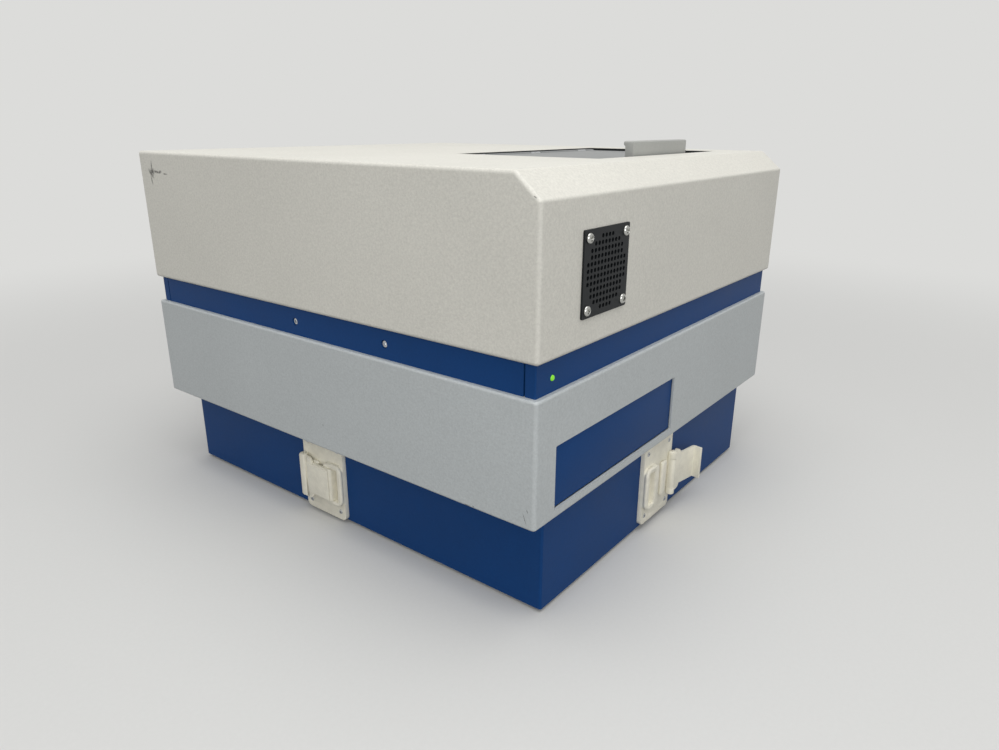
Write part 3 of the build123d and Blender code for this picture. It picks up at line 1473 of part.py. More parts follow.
def latch_base(clasp):
    """Base plate with the slotted keeper at one end and the hinge barrel at the other."""
    plate_top = latch_plate_thickness
    keeper_end = clasp_axis_along
    slot_end = clasp_axis_along - slot_start
    plate_up = about(plate_middle, latch_plate_height)
    latch_block(clasp, plate_ends, plate_up, (0, plate_top), latch_plate_corner)
    keeper_reach = (keeper_end - keeper_length, keeper_end)
    keeper_out = (plate_top, plate_top + keeper_height)
    latch_block(clasp, keeper_reach, about(0, keeper_width), keeper_out, keeper_corner, keeper_taper)
    slot_reach = (slot_end - slot_length, slot_end)
    slot_out = (slot_floor, keeper_out[1])
    latch_block(clasp, slot_reach, about(0, slot_width), slot_out, slot_corner, mode=Mode.SUBTRACT)
    with BuildSketch(clasp) as web_section:
        with Locations((0, (plate_top - clasp_axis_out) / 2)):
            Rectangle(clasp_web, clasp_axis_out - plate_top)
    extrude(web_section.sketch, amount=clasp_barrel_length / 2, both=True)
    axis_bar(clasp, clasp_barrel_radius, clasp_barrel_length)
    axis_bar(clasp, clasp_pin_radius, clasp_pin_length)
    latch_rounds(clasp, latch_screw_radius, (0, plate_top), Mode.SUBTRACT)
    latch_rounds(clasp, latch_head_radius, (latch_seat, plate_top), Mode.SUBTRACT)


def latch_flap(plane):
    """Flap that turns on the latch's pin: two knuckles, a root plate and a tab bent into a hook."""
    axis_bar(plane, flap_knuckle_radius, flap_width)
    root_face = Plane(origin=plane.origin + plane.y_dir * flap_lift, x_dir=plane.x_dir, z_dir=plane.y_dir)
    with BuildSketch(root_face) as root_plan:
        RectangleRounded(2 * flap_root, flap_width, flap_corner)
        with Locations((-flap_root / 2, 0)):
            Rectangle(flap_root, flap_width, mode=Mode.SUBTRACT)
    extrude(root_plan.sketch, amount=flap_thickness)
    tab_middle = flap_lift + flap_thickness / 2
    with BuildSketch(plane) as tab_section:
        with BuildLine():
            FilletPolyline(
                (flap_tab_start, tab_middle),
                (flap_reach - flap_thickness / 2, tab_middle),
                (flap_reach - flap_thickness / 2, flap_lift - flap_hook_drop),
                radius=flap_bend,
            )
        trace(line_width=flap_thickness)
    extrude(tab_section.sketch, amount=flap_tab_width / 2, both=True)
    gap_length = clasp_barrel_length + 2 * clasp_end_gap
    axis_bar(plane, clasp_barrel_radius + clasp_swing_gap, gap_length, Mode.SUBTRACT)
    axis_bar(plane, clasp_pin_radius + running_clearance, flap_width, Mode.SUBTRACT)


with BuildPart() as latch_plates:
    latch_base(left_clasp)
    latch_base(front_clasp)
save(latch_plates, "latch_plates")

with BuildPart() as latch_slider_left:
    latch_flap(left_clasp)
save(latch_slider_left, "latch_slider_left")

with BuildPart() as latch_slider_front:
    latch_flap(front_flap_plane)
save(latch_slider_front, "latch_slider_front")

# Case screws: recessed trim screws, rear panel screws and latch plate screws
with BuildPart() as case_screws:
    for side in (-1, 1):
        for y in trim_screw_positions:
            start = (side * (half_width - trim_inset - trim_screw_sink), y, trim_screw_z)
            inwards = (-side, 0, 0)
            round_bar(start, inwards, screw_recess_radius - trim_head_gap, trim_head_height)
            round_bar(start, inwards, trim_screw_radius, trim_screw_length)
            round_bar(start, inwards, trim_socket_radius, trim_socket_depth, Mode.SUBTRACT)
    for x in about(rear_cutout_x, 2 * screw_half_x):
        for z in about(panel_z, 2 * screw_half_z):
            round_bar((x, panel_face, z), (0, 1, 0), panel_head_radius, panel_head_height)
            round_bar((x, panel_face, z), (0, -1, 0), panel_screw_radius, panel_screw_length)
    for clasp in (left_clasp, front_clasp):
        latch_rounds(clasp, latch_screw_radius - latch_screw_gap, (0, latch_seat))
        head_span = (latch_seat, latch_seat + latch_head_height)
        latch_rounds(clasp, latch_head_radius - latch_screw_gap, head_span)
save(case_screws, "case_screws")
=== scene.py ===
"""Dresses the microplate reader: paints, mouldings, screws, grille, studio and camera."""

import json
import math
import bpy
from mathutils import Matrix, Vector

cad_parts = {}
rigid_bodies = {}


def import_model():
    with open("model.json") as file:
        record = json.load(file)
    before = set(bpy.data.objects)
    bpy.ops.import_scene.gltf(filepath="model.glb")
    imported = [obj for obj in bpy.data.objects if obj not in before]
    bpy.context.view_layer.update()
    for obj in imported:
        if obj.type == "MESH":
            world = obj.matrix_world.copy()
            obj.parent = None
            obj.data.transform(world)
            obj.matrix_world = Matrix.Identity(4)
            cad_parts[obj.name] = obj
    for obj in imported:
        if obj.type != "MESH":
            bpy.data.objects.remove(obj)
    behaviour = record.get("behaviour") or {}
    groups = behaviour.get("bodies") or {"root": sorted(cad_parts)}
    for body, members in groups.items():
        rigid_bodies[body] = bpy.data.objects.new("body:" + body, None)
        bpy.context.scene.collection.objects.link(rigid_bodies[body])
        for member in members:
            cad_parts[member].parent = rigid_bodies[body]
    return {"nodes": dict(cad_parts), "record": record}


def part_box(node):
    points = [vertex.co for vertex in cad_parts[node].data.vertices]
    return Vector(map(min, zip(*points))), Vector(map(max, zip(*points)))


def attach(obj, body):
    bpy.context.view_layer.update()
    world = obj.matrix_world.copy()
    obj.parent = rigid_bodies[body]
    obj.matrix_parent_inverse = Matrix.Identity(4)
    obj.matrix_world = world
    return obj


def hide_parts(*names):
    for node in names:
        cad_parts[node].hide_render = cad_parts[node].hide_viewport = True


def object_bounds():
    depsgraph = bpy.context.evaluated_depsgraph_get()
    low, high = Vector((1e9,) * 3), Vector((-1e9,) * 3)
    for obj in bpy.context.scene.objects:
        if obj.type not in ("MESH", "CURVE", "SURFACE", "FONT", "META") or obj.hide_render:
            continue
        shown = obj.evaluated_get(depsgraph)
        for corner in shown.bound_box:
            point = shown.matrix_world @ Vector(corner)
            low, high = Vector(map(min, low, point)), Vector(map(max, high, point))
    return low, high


bl_info = {
    "name": "Microplate reader looks",
    "version": (1, 0, 0),
    "blender": (4, 5, 0),
    "location": "View3D > Sidebar > Reader",
    "description": "Finishes and fine pieces for a bench-top microplate reader, with its studio",
    "category": "Object",
}

import bmesh
import bpy
from bpy.props import FloatProperty, FloatVectorProperty, IntProperty, PointerProperty
from bpy.types import Operator, Panel, PropertyGroup
from mathutils import Matrix, Vector

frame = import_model()
cad_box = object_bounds()

MM = 0.001
MERGE = 0.001 * MM
CASE_MIDDLE = (Vector(cad_box[0]) + Vector(cad_box[1])) / 2

# Angles in degrees: flats that are one face, edges that are rounded, and edges that stay crisp in shading
FLAT_ANGLE = 0.3
ROUNDED_ANGLE = 40
CRISP_ANGLE = 35
HEAD_CRISP_ANGLE = 32

# Noise scales per metre: a scale of 1000 has features about 1 mm wide
MOTTLE = 900.0  # specks in the light's lens, about 1.1 mm
FRAY = 700.0  # ragged edge of a scuff, about 1.4 mm
RIPPLE = 450.0  # orange peel of the enamel, about 2.2 mm
FIBRE = 300.0  # felt of the floor's paper, drawn at 3.3 mm so that it shows
GRIME = 130.0  # patches of grime on plastic, about 8 mm
SPARK = 1400.0  # spark-eroded mould texture, drawn at 0.7 mm so that it shows
DUST = 14.0  # film of dust, patches about 70 mm wide
COAT_CLOUD = 9.0  # uneven thickness of the powder coat, about 110 mm
STREAKS = (60.0, 900.0, 900.0)  # drawing marks in metal, 17 mm long, drawn 1.1 mm wide so that they show

# Marks on the left faces, in mm and degrees: along Y, height, turn, length and width of each
HOOD_SCUFF = (
    (217.2, 314.2, 15, 9.5, 8.5),
    (219.8, 312.2, 45, 13.0, 4.6),
    (217.4, 319.5, 96, 12.0, 2.2),
    (220.2, 306.0, 80, 11.0, 2.2),
    (209.5, 314.2, 6, 14.0, 3.0),
    (203.5, 314.2, -14, 7.0, 3.4),
    (194.0, 312.8, 2, 9.0, 1.5),
    (-235.2, 317.4, 30, 3.0, 0.9),
)
BAND_SCUFF = (
    (-178.0, 87.6, 0, 6.0, 1.4),
    (-184.0, 88.6, 20, 2.4, 1.2),
    (-231.4, 94.5, 70, 11.0, 0.7),
    (-233.6, 101.5, 70, 3.0, 1.2),
    (-13.4, 109.7, 0, 1.7, 1.5),
)

# CAD nodes whose edges are rounded in a copy, with the new piece's name and its radius in mm
MOULDINGS = {
    "latch_plates": ("latch_base_mouldings", 0.8),
    "latch_slider_left": ("latch_flap_left_moulding", 1.15),
    "latch_slider_front": ("latch_flap_front_moulding", 1.15),
    "lid_handle": ("lid_handle_bar", 0.7),
    "door_flap": ("door_flap_panel", 0.35),
    "lid_panel": ("lid_sheet", 0.35),
    "rocker_switch": ("rocker_cap", 0.5),
    "switch_bezel": ("rocker_bezel", 0.6),
    "power_inlet": ("inlet_housing", 0.6),
    "plate_carrier": ("carrier_tray", 0.5),
    "head_cap": ("optic_cap", 0.5),
    "port_caps": ("injector_caps", 0.5),
    "rear_panel": ("rear_plate", 0.2),
}

# A latch in its own directions, in mm: along from the hinge to the keeper, up both ways, and out
LATCH_RIM = {"along": (33.9, 50.0), "up": 19.4, "out": -1.25, "corner": 6.4, "radius": 1.95}
LATCH_RIB = {"along": (10.5, 19.5), "up": 17.5, "out": (-4.0, -0.1), "rounding": 1.9}
LATCH_PAD = {"along": (8.4, 38.4), "up": 15.4, "out": (3.0, 4.5), "rounding": 0.9}
LATCH_GRIP = {"along": (-3.7, 5.0), "up": 22.2, "out": (-1.5, 3.9), "rounding": 2.4}
LATCH_GROOVE = {"along": (5.2, 8.0), "up": 24.0, "out": (1.7, 6.0), "rounding": 0.5}

# Each latch's flap and how far it stands open in the frame, in degrees
FLAPS = {"left": ("latch_slider_left", 0.0), "front": ("latch_slider_front", 170.0)}

# Outlines of the screw heads as radius and height, on a scale where the head's radius is 1. The
# heights in PAN_DOME are shares of the pan head's height, and STUB is where the shank is cut off
STUB = -1.2
PAN_DOME = ((0.0, 1.0), (0.35, 0.98), (0.62, 0.9), (0.82, 0.72), (0.95, 0.45), (1.0, 0.2))
PAN_SHANK = ((1.0, 0.04), (0.96, 0.0), (0.5, 0.0), (0.5, STUB), (0.0, STUB))
SOCKET_HEIGHT = 0.66
SOCKET_CHAMFER = 0.13
SOCKET_RIM = (
    (0.0, SOCKET_HEIGHT), (0.86, SOCKET_HEIGHT), (1.0, SOCKET_HEIGHT - SOCKET_CHAMFER),
    (1.0, 0.0), (0.55, 0.0), (0.55, STUB), (0.0, STUB),
)
HEAD_SEEDS = {"grille_screw_heads": 3, "rear_screw_heads": 5, "side_screw_heads": 8}

# Lamps and floor in metres
KEY_PLACE = Vector((-0.2, -0.3, 1.9))
KEY_SIZE = 1.6
FILL_PLACE = Vector((-1.55, -1.45, 0.8))
FILL_SIZE = 1.2
FLOOR_REACH = 12.0


def linear(code):
    """An sRGB hex colour as linear red, green and blue."""
    parts = [int(code[i:i + 2], 16) / 255 for i in (1, 3, 5)]
    return tuple(c / 12.92 if c <= 0.04045 else ((c + 0.055) / 1.055) ** 2.4 for c in parts)


class CasePaints(PropertyGroup):
    """Colours and grain of the painted case."""

    hood: FloatVectorProperty(
        name="Hood", description="Warm white powder coat", subtype="COLOR", default=linear("#DCDAD1")
    )
    band: FloatVectorProperty(
        name="Band", description="Light grey powder coat", subtype="COLOR", default=linear("#BEC3C4")
    )
    navy: FloatVectorProperty(
        name="Trim and plinth", description="Blue enamel", subtype="COLOR", default=linear("#133E74")
    )
    lid: FloatVectorProperty(
        name="Lid", description="Grey satin enamel", subtype="COLOR", default=linear("#7C7E7E")
    )
    handle: FloatVectorProperty(
        name="Handle", description="Pale grey enamel", subtype="COLOR", default=linear("#A6A7A3")
    )
    cream: FloatVectorProperty(
        name="Latches", description="Cream moulded plastic", subtype="COLOR", default=linear("#F0ECDC")
    )
    grain: FloatProperty(
        name="Grain", description="Width of one bump of the powder coat",
        subtype="DISTANCE", default=1.9 * MM,
    )
    grain_height: FloatProperty(
        name="Grain height", description="Height of the bumps", subtype="DISTANCE", default=0.16 * MM
    )


class GrilleSizes(PropertyGroup):
    """Sizes of the pierced fan grille."""

    pitch: FloatProperty(
        name="Pitch", description="Distance between holes", subtype="DISTANCE", default=4.55 * MM
    )
    hole: FloatProperty(
        name="Hole", description="Hole diameter", subtype="DISTANCE", default=3.2 * MM
    )
    field: FloatProperty(
        name="Field", description="Radius of the pierced field, in pitches", default=5.83
    )
    rows: IntProperty(name="Rows", description="Rows of the full square pattern", default=12)
    corner: FloatProperty(
        name="Corner", description="Radius of the plate's corners", subtype="DISTANCE", default=1.2 * MM
    )


class ScrewSizes(PropertyGroup):
    """Shape of the screw heads, as shares of the head's radius."""

    height: FloatProperty(name="Height", description="Height of a pan head", default=0.62)
    wing: FloatProperty(name="Wing", description="Half the width of a wing of the cross", default=0.17)
    reach: FloatProperty(name="Reach", description="How far the cross reaches out", default=0.66)
    socket: FloatProperty(name="Socket", description="Radius of the hexagon socket", default=0.45)


class StudioSettings(PropertyGroup):
    """Camera, floor and light."""

    place: FloatVectorProperty(
        name="Camera place", description="Where the camera stands", subtype="TRANSLATION",
        default=(-0.59152, -0.49753, 0.3598),
    )
    yaw: FloatProperty(name="Yaw", description="Turn from +Y towards +X", default=52.12)
    pitch: FloatProperty(name="Pitch", description="Tilt above the horizon", default=-18.99)
    roll: FloatProperty(name="Roll", description="Turn about the line of sight", default=0.23)
    lens: FloatProperty(name="Lens", description="Focal length on a 36 mm wide sensor", default=26.39)
    floor: FloatVectorProperty(
        name="Floor", description="Floor colour", subtype="COLOR", default=linear("#D3D3D1")
    )
    bounce: FloatVectorProperty(
        name="Floor bounce", description="Floor colour as the object sees it",
        subtype="COLOR", default=linear("#6C6C6A"),
    )
    backdrop: FloatVectorProperty(
        name="Backdrop", description="Colour that the floor fades into",
        subtype="COLOR", default=linear("#DCDCDA"),
    )
    key: FloatProperty(
        name="Key light", description="Power of the lamp overhead", unit="POWER", default=20.0
    )
    fill: FloatProperty(
        name="Fill light", description="Power of the lamp in front", unit="POWER", default=15.5
    )
    sky: FloatProperty(name="Sky", description="Strength of the even light", default=0.5)


def add(tree, kind, links=None, **settings):
    """Add a node, set its properties, and give its inputs values or links."""
    node = tree.nodes.new(kind)
    for key, value in settings.items():
        setattr(node, key, value)
    for socket, value in (links or {}).items():
        for item in value if isinstance(value, list) else [value]:
            if isinstance(item, bpy.types.NodeSocket):
                tree.links.new(item, node.inputs[socket])
            else:
                node.inputs[socket].default_value = item
    return node


def new_material(name):
    """An empty material and its tree, with the shader and the object coordinates in place."""
    material = bpy.data.materials.new(name)
    material.use_nodes = True
    tree = material.node_tree
    tree.nodes.clear()
    shader = add(tree, "ShaderNodeBsdfPrincipled")
    add(tree, "ShaderNodeOutputMaterial", {"Surface": shader.outputs["BSDF"]})
    place = add(tree, "ShaderNodeTexCoord").outputs["Object"]
    return material, tree, shader, place


def scuffed(tree, place, colour, marks):
    """Darken a colour where the case's left face is scuffed, with ragged ends to each mark."""
    depth = 20 * MM
    grime = (*linear("#3D3B38"), 1)
    fray = add(tree, "ShaderNodeTexNoise", {"Vector": place, "Scale": FRAY, "Detail": 2.0})
    level = None
    for along, height, turn, length, width in marks:
        local = add(
            tree, "ShaderNodeMapping",
            {
                "Vector": place,
                "Location": (cad_box[0][0], along * MM, height * MM),
                "Rotation": (math.radians(turn), 0, 0),
                "Scale": (depth, length / 2 * MM, width / 2 * MM),
            },
            vector_type="TEXTURE",
        )
        away = add(tree, "ShaderNodeVectorMath", {0: local.outputs[0]}, operation="LENGTH")
        near = add(
            tree, "ShaderNodeMapRange",
            {
                "Value": away.outputs["Value"], "From Min": 0.1, "From Max": 1.25,
                "To Min": 1.0, "To Max": 0.0,
            },
        )
        if level is None:
            level = near.outputs[0]
        else:
            deeper = add(tree, "ShaderNodeMath", {0: level, 1: near.outputs[0]}, operation="MAXIMUM")
            level = deeper.outputs[0]
    torn = add(tree, "ShaderNodeMath", {0: level, 1: fray.outputs["Fac"]}, operation="MULTIPLY")
    share = add(tree, "ShaderNodeMapRange", {"Value": torn.outputs[0], "From Min": 0.08, "From Max": 0.5})
    worn = add(
        tree, "ShaderNodeMix", {"Factor": share.outputs[0], "A": colour, "B": grime}, data_type="RGBA"
    )
    return worn.outputs["Result"]


def powder_coat(name, colour, roughness, marks):
    """Epoxy powder coat with a coarse orange-peel skin: matt, with soft bumps that catch the light."""
    paints = bpy.context.scene.reader_paints
    material, tree, shader, place = new_material(name)
    peel = add(
        tree, "ShaderNodeTexNoise",
        {"Vector": place, "Scale": 1 / paints.grain, "Detail": 3.0, "Roughness": 0.6, "Distortion": 0.3},
    )
    cloud = add(tree, "ShaderNodeTexNoise", {"Vector": place, "Scale": COAT_CLOUD, "Detail": 2.0})
    shade = add(
        tree, "ShaderNodeMapRange",
        {"Value": peel.outputs["Fac"], "From Min": 0.3, "From Max": 0.7, "To Min": 0.9, "To Max": 1.05},
    )
    patch = add(
        tree, "ShaderNodeMapRange",
        {"Value": cloud.outputs["Fac"], "From Min": 0.3, "From Max": 0.7, "To Min": 0.98, "To Max": 1.02},
    )
    both = add(tree, "ShaderNodeMath", {0: shade.outputs[0], 1: patch.outputs[0]}, operation="MULTIPLY")
    tint = add(tree, "ShaderNodeHueSaturation", {"Color": (*colour, 1), "Value": both.outputs[0]})
    bump = add(
        tree, "ShaderNodeBump",
        {"Height": peel.outputs["Fac"], "Distance": paints.grain_height, "Strength": 1.0},
    )
    paint = scuffed(tree, place, tint.outputs[0], marks) if marks else tint.outputs[0]
    tree.links.new(paint, shader.inputs["Base Color"])
    tree.links.new(bump.outputs[0], shader.inputs["Normal"])
    shader.inputs["Roughness"].default_value = roughness
    return material


def enamel(name, colour, roughness, gloss):
    """Stoved enamel: smooth, with a faint ripple and a thin film of dust that varies its tone."""
    material, tree, shader, place = new_material(name)
    ripple_height = 0.03 * MM
    ripple = add(tree, "ShaderNodeTexNoise", {"Vector": place, "Scale": RIPPLE, "Detail": 2.0})
    film = add(
        tree, "ShaderNodeTexNoise", {"Vector": place, "Scale": DUST, "Detail": 5.0, "Roughness": 0.65}
    )
    bump = add(
        tree, "ShaderNodeBump",
        {"Height": ripple.outputs["Fac"], "Distance": ripple_height, "Strength": 1.0},
    )
    fine = add(
        tree, "ShaderNodeMapRange", {"Value": ripple.outputs["Fac"], "To Min": 0.92, "To Max": 1.08}
    )
    broad = add(
        tree, "ShaderNodeMapRange", {"Value": film.outputs["Fac"], "To Min": 0.86, "To Max": 1.14}
    )
    shade = add(tree, "ShaderNodeMath", {0: fine.outputs[0], 1: broad.outputs[0]}, operation="MULTIPLY")
    tint = add(tree, "ShaderNodeHueSaturation", {"Color": (*colour, 1), "Value": shade.outputs[0]})
    rough = add(
        tree, "ShaderNodeMapRange",
        {"Value": film.outputs["Fac"], "To Min": roughness * 0.85, "To Max": roughness * 1.2},
    )
    tree.links.new(tint.outputs[0], shader.inputs["Base Color"])
    tree.links.new(bump.outputs[0], shader.inputs["Normal"])
    tree.links.new(rough.outputs[0], shader.inputs["Roughness"])
    shader.inputs["Specular IOR Level"].default_value = gloss
    return material


def metal(name, colour, roughness):
    """Machined or drawn metal: fine streaks that spread the shine one way."""
    material, tree, shader, place = new_material(name)
    stretch = add(tree, "ShaderNodeMapping", {"Vector": place, "Scale": STREAKS})
    streak = add(tree, "ShaderNodeTexNoise", {"Vector": stretch.outputs[0], "Scale": 1.0, "Detail": 2.0})
    rough = add(
        tree, "ShaderNodeMapRange",
        {"Value": streak.outputs["Fac"], "To Min": roughness * 0.7, "To Max": roughness * 1.3},
    )
    tree.links.new(rough.outputs[0], shader.inputs["Roughness"])
    shader.inputs["Base Color"].default_value = (*colour, 1)
    shader.inputs["Metallic"].default_value = 1.0
    return material


def plastic(name, colour, roughness, dirt=0.0):
    """Moulded plastic with a light spark texture, and grime that has settled in patches."""
    material, tree, shader, place = new_material(name)
    spark_height = 0.02 * MM
    spark = add(tree, "ShaderNodeTexNoise", {"Vector": place, "Scale": SPARK, "Detail": 2.0})
    grime = add(
        tree, "ShaderNodeTexNoise", {"Vector": place, "Scale": GRIME, "Detail": 4.0, "Roughness": 0.6}
    )
    bump = add(
        tree, "ShaderNodeBump",
        {"Height": spark.outputs["Fac"], "Distance": spark_height, "Strength": 1.0},
    )
    fine = add(
        tree, "ShaderNodeMapRange", {"Value": spark.outputs["Fac"], "To Min": 0.94, "To Max": 1.06}
    )
    patch = add(
        tree, "ShaderNodeMapRange",
        {
            "Value": grime.outputs["Fac"], "From Min": 0.35, "From Max": 0.7,
            "To Min": 1.0, "To Max": 1.0 - dirt,
        },
    )
    shade = add(tree, "ShaderNodeMath", {0: fine.outputs[0], 1: patch.outputs[0]}, operation="MULTIPLY")
    tint = add(tree, "ShaderNodeHueSaturation", {"Color": (*colour, 1), "Value": shade.outputs[0]})
    tree.links.new(tint.outputs[0], shader.inputs["Base Color"])
    tree.links.new(bump.outputs[0], shader.inputs["Normal"])
    shader.inputs["Roughness"].default_value = roughness
    return material


def lit_lens(name, colour, glow):
    """Diffused polycarbonate lens with a lamp behind it: an even glow with a faint mottle."""
    material, tree, shader, place = new_material(name)
    mottle = add(tree, "ShaderNodeTexNoise", {"Vector": place, "Scale": MOTTLE, "Detail": 1.0})
    shade = add(tree, "ShaderNodeMapRange", {"Value": mottle.outputs["Fac"], "To Min": 0.9, "To Max": 1.1})
    tint = add(tree, "ShaderNodeHueSaturation", {"Color": (*colour, 1), "Value": shade.outputs[0]})
    tree.links.new(tint.outputs[0], shader.inputs["Base Color"])
    tree.links.new(tint.outputs[0], shader.inputs["Emission Color"])
    shader.inputs["Emission Strength"].default_value = glow
    shader.inputs["Roughness"].default_value = 0.25
    return material


def make_finishes():
    """One material for each of the record's slots."""
    paints = bpy.context.scene.reader_paints
    return {
        # Sprayed and baked epoxy powder: matt and pebbled, with dark scuffs on the left face
        "hood_paint": powder_coat("powder_coat_warm_white", paints.hood, 0.5, HOOD_SCUFF),
        "band_paint": powder_coat("powder_coat_light_grey", paints.band, 0.5, BAND_SCUFF),
        # Stoved enamel on sheet steel: deep, smooth and only softly shiny
        "navy_paint": enamel("stoved_enamel_navy", paints.navy, 0.45, 0.12),
        # Satin enamel: an even grey with a soft sheen
        "lid_paint": enamel("satin_enamel_grey", paints.lid, 0.35, 0.3),
        "handle_paint": enamel("satin_enamel_handle", paints.handle, 0.45, 0.5),
        # Fine black powder coat on the pierced grille and the inner frames: near black, dull
        "black_paint": enamel("black_powder_coat", linear("#15181B"), 0.45, 0.25),
        # Drawn steel bar and screws: bright, with marks along its length
        "steel": metal("bright_drawn_steel", linear("#C4C6C8"), 0.28),
        # Zinc plated screws: the sharpest shine on the case
        "bright_steel": metal("zinc_plated_steel", linear("#B9B9B5"), 0.2),
        # Milled aluminium: pale, with a broad soft shine
        "aluminium": metal("milled_aluminium", linear("#C3C5C8"), 0.4),
        # Anodised aluminium: black with a metal's soft edge of light
        "black_aluminium": metal("black_anodised_aluminium", linear("#2A2B2D"), 0.45),
        # Oil-filled sintered bronze bushings: warm and dull
        "brass": metal("sintered_bronze", linear("#B08D4F"), 0.45),
        # Moulded nitrile feet and neoprene belts: dark and without shine
        "rubber": plastic("nitrile_rubber", linear("#1C1C1D"), 0.7),
        "belt_rubber": plastic("neoprene_belt", linear("#1A1A1B"), 0.65),
        # Injection moulded ABS latches: creamy, waxy edges, a little grime
        "cream_plastic": plastic("moulded_abs_cream", paints.cream, 0.42, 0.12),
        # Injection moulded ABS fittings: dark, evenly dull
        "black_plastic": plastic("moulded_abs_black", linear("#1F2022"), 0.45),
        # Polished polycarbonate rocker: black with a clear reflection
        "gloss_black": plastic("gloss_polycarbonate_black", linear("#0F1012"), 0.15),
        # Glass-filled epoxy board under green lacquer: smooth and green
        "board_green": plastic("glass_epoxy_board", linear("#1C5A3A"), 0.4),
        # Diffused polycarbonate over a lamp: a small bright green spot
        "led_green": lit_lens("diffused_green_lens", linear("#74C41F"), 0.55),
        # Hot-dip galvanised sheet inside the case: grey and flat
        "galvanised": metal("galvanised_sheet", linear("#B4B8BA"), 0.4),
    }


def body_of_node(name):
    """The body that a CAD node rides on."""
    bodies = frame["record"]["behaviour"]["bodies"]
    return next(body for body, nodes in bodies.items() if name in nodes)


def show(name, mesh, material):
    """Put a finished mesh in the scene as a piece of its own."""
    piece = bpy.data.objects.new(name, mesh)
    mesh.materials.clear()
    mesh.materials.append(material)
    bpy.context.scene.collection.objects.link(piece)
    return piece


def settle(piece):
    """Apply a piece's modifiers and leave a plain mesh."""
    depsgraph = bpy.context.evaluated_depsgraph_get()
    mesh = bpy.data.meshes.new_from_object(piece.evaluated_get(depsgraph), depsgraph=depsgraph)
    piece.modifiers.clear()
    piece.data = mesh
    mesh.name = piece.name


def cut_away(piece, cutter):
    """Cut one closed piece out of another and remove the cutter."""
    cut = piece.modifiers.new("cut", "BOOLEAN")
    cut.object = cutter
    cut.operation = "DIFFERENCE"
    cut.solver = "EXACT"
    settle(piece)
    bpy.data.objects.remove(cutter)


def mesh_from(shape, name):
    """A new mesh from a bmesh, which is freed."""
    mesh = bpy.data.meshes.new(name)
    shape.to_mesh(mesh)
    shape.free()
    return mesh


def merged(node):
    """A CAD node's triangles as one closed shape with whole flats."""
    shape = bmesh.new()
    shape.from_mesh(node.data)
    bmesh.ops.remove_doubles(shape, verts=shape.verts, dist=MERGE)
    bmesh.ops.dissolve_limit(
        shape, angle_limit=math.radians(FLAT_ANGLE), use_dissolve_boundaries=False,
        verts=shape.verts, edges=shape.edges,
    )
    return shape


def softened(node_name, piece_name, radius):
    """A copy of a CAD node with its sharp edges rounded, standing for the node."""
    node = frame["nodes"][node_name]
    piece = show(piece_name, mesh_from(merged(node), piece_name), node.material_slots[0].material)
    rounding = piece.modifiers.new("rounding", "BEVEL")
    rounding.width = radius * MM
    rounding.segments = 3
    rounding.limit_method = "ANGLE"
    rounding.angle_limit = math.radians(ROUNDED_ANGLE)
    settle(piece)
    piece.data.shade_smooth()
    piece.data.set_sharp_from_angle(angle=math.radians(CRISP_ANGLE))
    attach(piece, body_of_node(node_name))
    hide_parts(node_name)


def latch_space(side, opening=0.0):
    """Matrix from a latch's along, out and up to the case, in metres, at an opening in degrees."""
    hinge = f"latch_{side}_hinge"
    joint = next(j for j in frame["record"]["behaviour"]["joints"] if j["name"] == hinge)
    way, out = Vector((0, -1, 0)), Vector((-1, 0, 0))
    if side == "front":
        way, out = out, way
    turn = Matrix.Rotation(math.radians(opening), 3, Vector(joint["axis"]))
    columns = (turn @ way, turn @ out, Vector((0, 0, 1)))
    space = Matrix(columns).transposed().to_4x4()
    return Matrix.Translation(Vector(joint["pos_m"])) @ space


def pillow(name, space, size, material):
    """A block with well rounded edges in a latch's directions."""
    shape = bmesh.new()
    along, up, out = size["along"], size["up"], size["out"]
    edge_segments = 4
    bmesh.ops.create_cube(shape, size=1.0)
    for point in shape.verts:
        point.co = Vector((
            along[point.co.x > 0] * MM, out[point.co.y > 0] * MM, math.copysign(up, point.co.z) * MM,
        ))
    bmesh.ops.bevel(
        shape, geom=list(shape.edges), offset=size["rounding"] * MM, segments=edge_segments,
        profile=0.5, affect="EDGES",
    )
    bmesh.ops.transform(shape, matrix=space, verts=shape.verts)
    bmesh.ops.recalc_face_normals(shape, faces=shape.faces)
    piece = show(name, mesh_from(shape, name), material)
    piece.data.shade_smooth()
    return piece


def rim_tree():
    """A round bead along a rounded rectangle, for the keeper's rim."""
    tree, given = geometry_tree(
        "keeper_rim",
        {"Width": "Float", "Height": "Float", "Corner": "Float", "Radius": "Float", "Material": "Material"},
    )
    path = add(
        tree, "GeometryNodeCurvePrimitiveQuadrilateral",
        {"Width": given["Width"], "Height": given["Height"]},
    )
    rounded = add(
        tree, "GeometryNodeFilletCurve",
        {"Curve": path.outputs[0], "Radius": given["Corner"], "Count": 10}, mode="POLY",
    )
    section = add(
        tree, "GeometryNodeCurvePrimitiveCircle",
        {"Resolution": 16, "Radius": given["Radius"]}, mode="RADIUS",
    )
    bead = add(
        tree, "GeometryNodeCurveToMesh",
        {"Curve": rounded.outputs[0], "Profile Curve": section.outputs[0]},
    )
    smooth = add(tree, "GeometryNodeSetShadeSmooth", {"Geometry": bead.outputs[0]})
    close_tree(tree, smooth.outputs[0], given["Material"])
    return tree


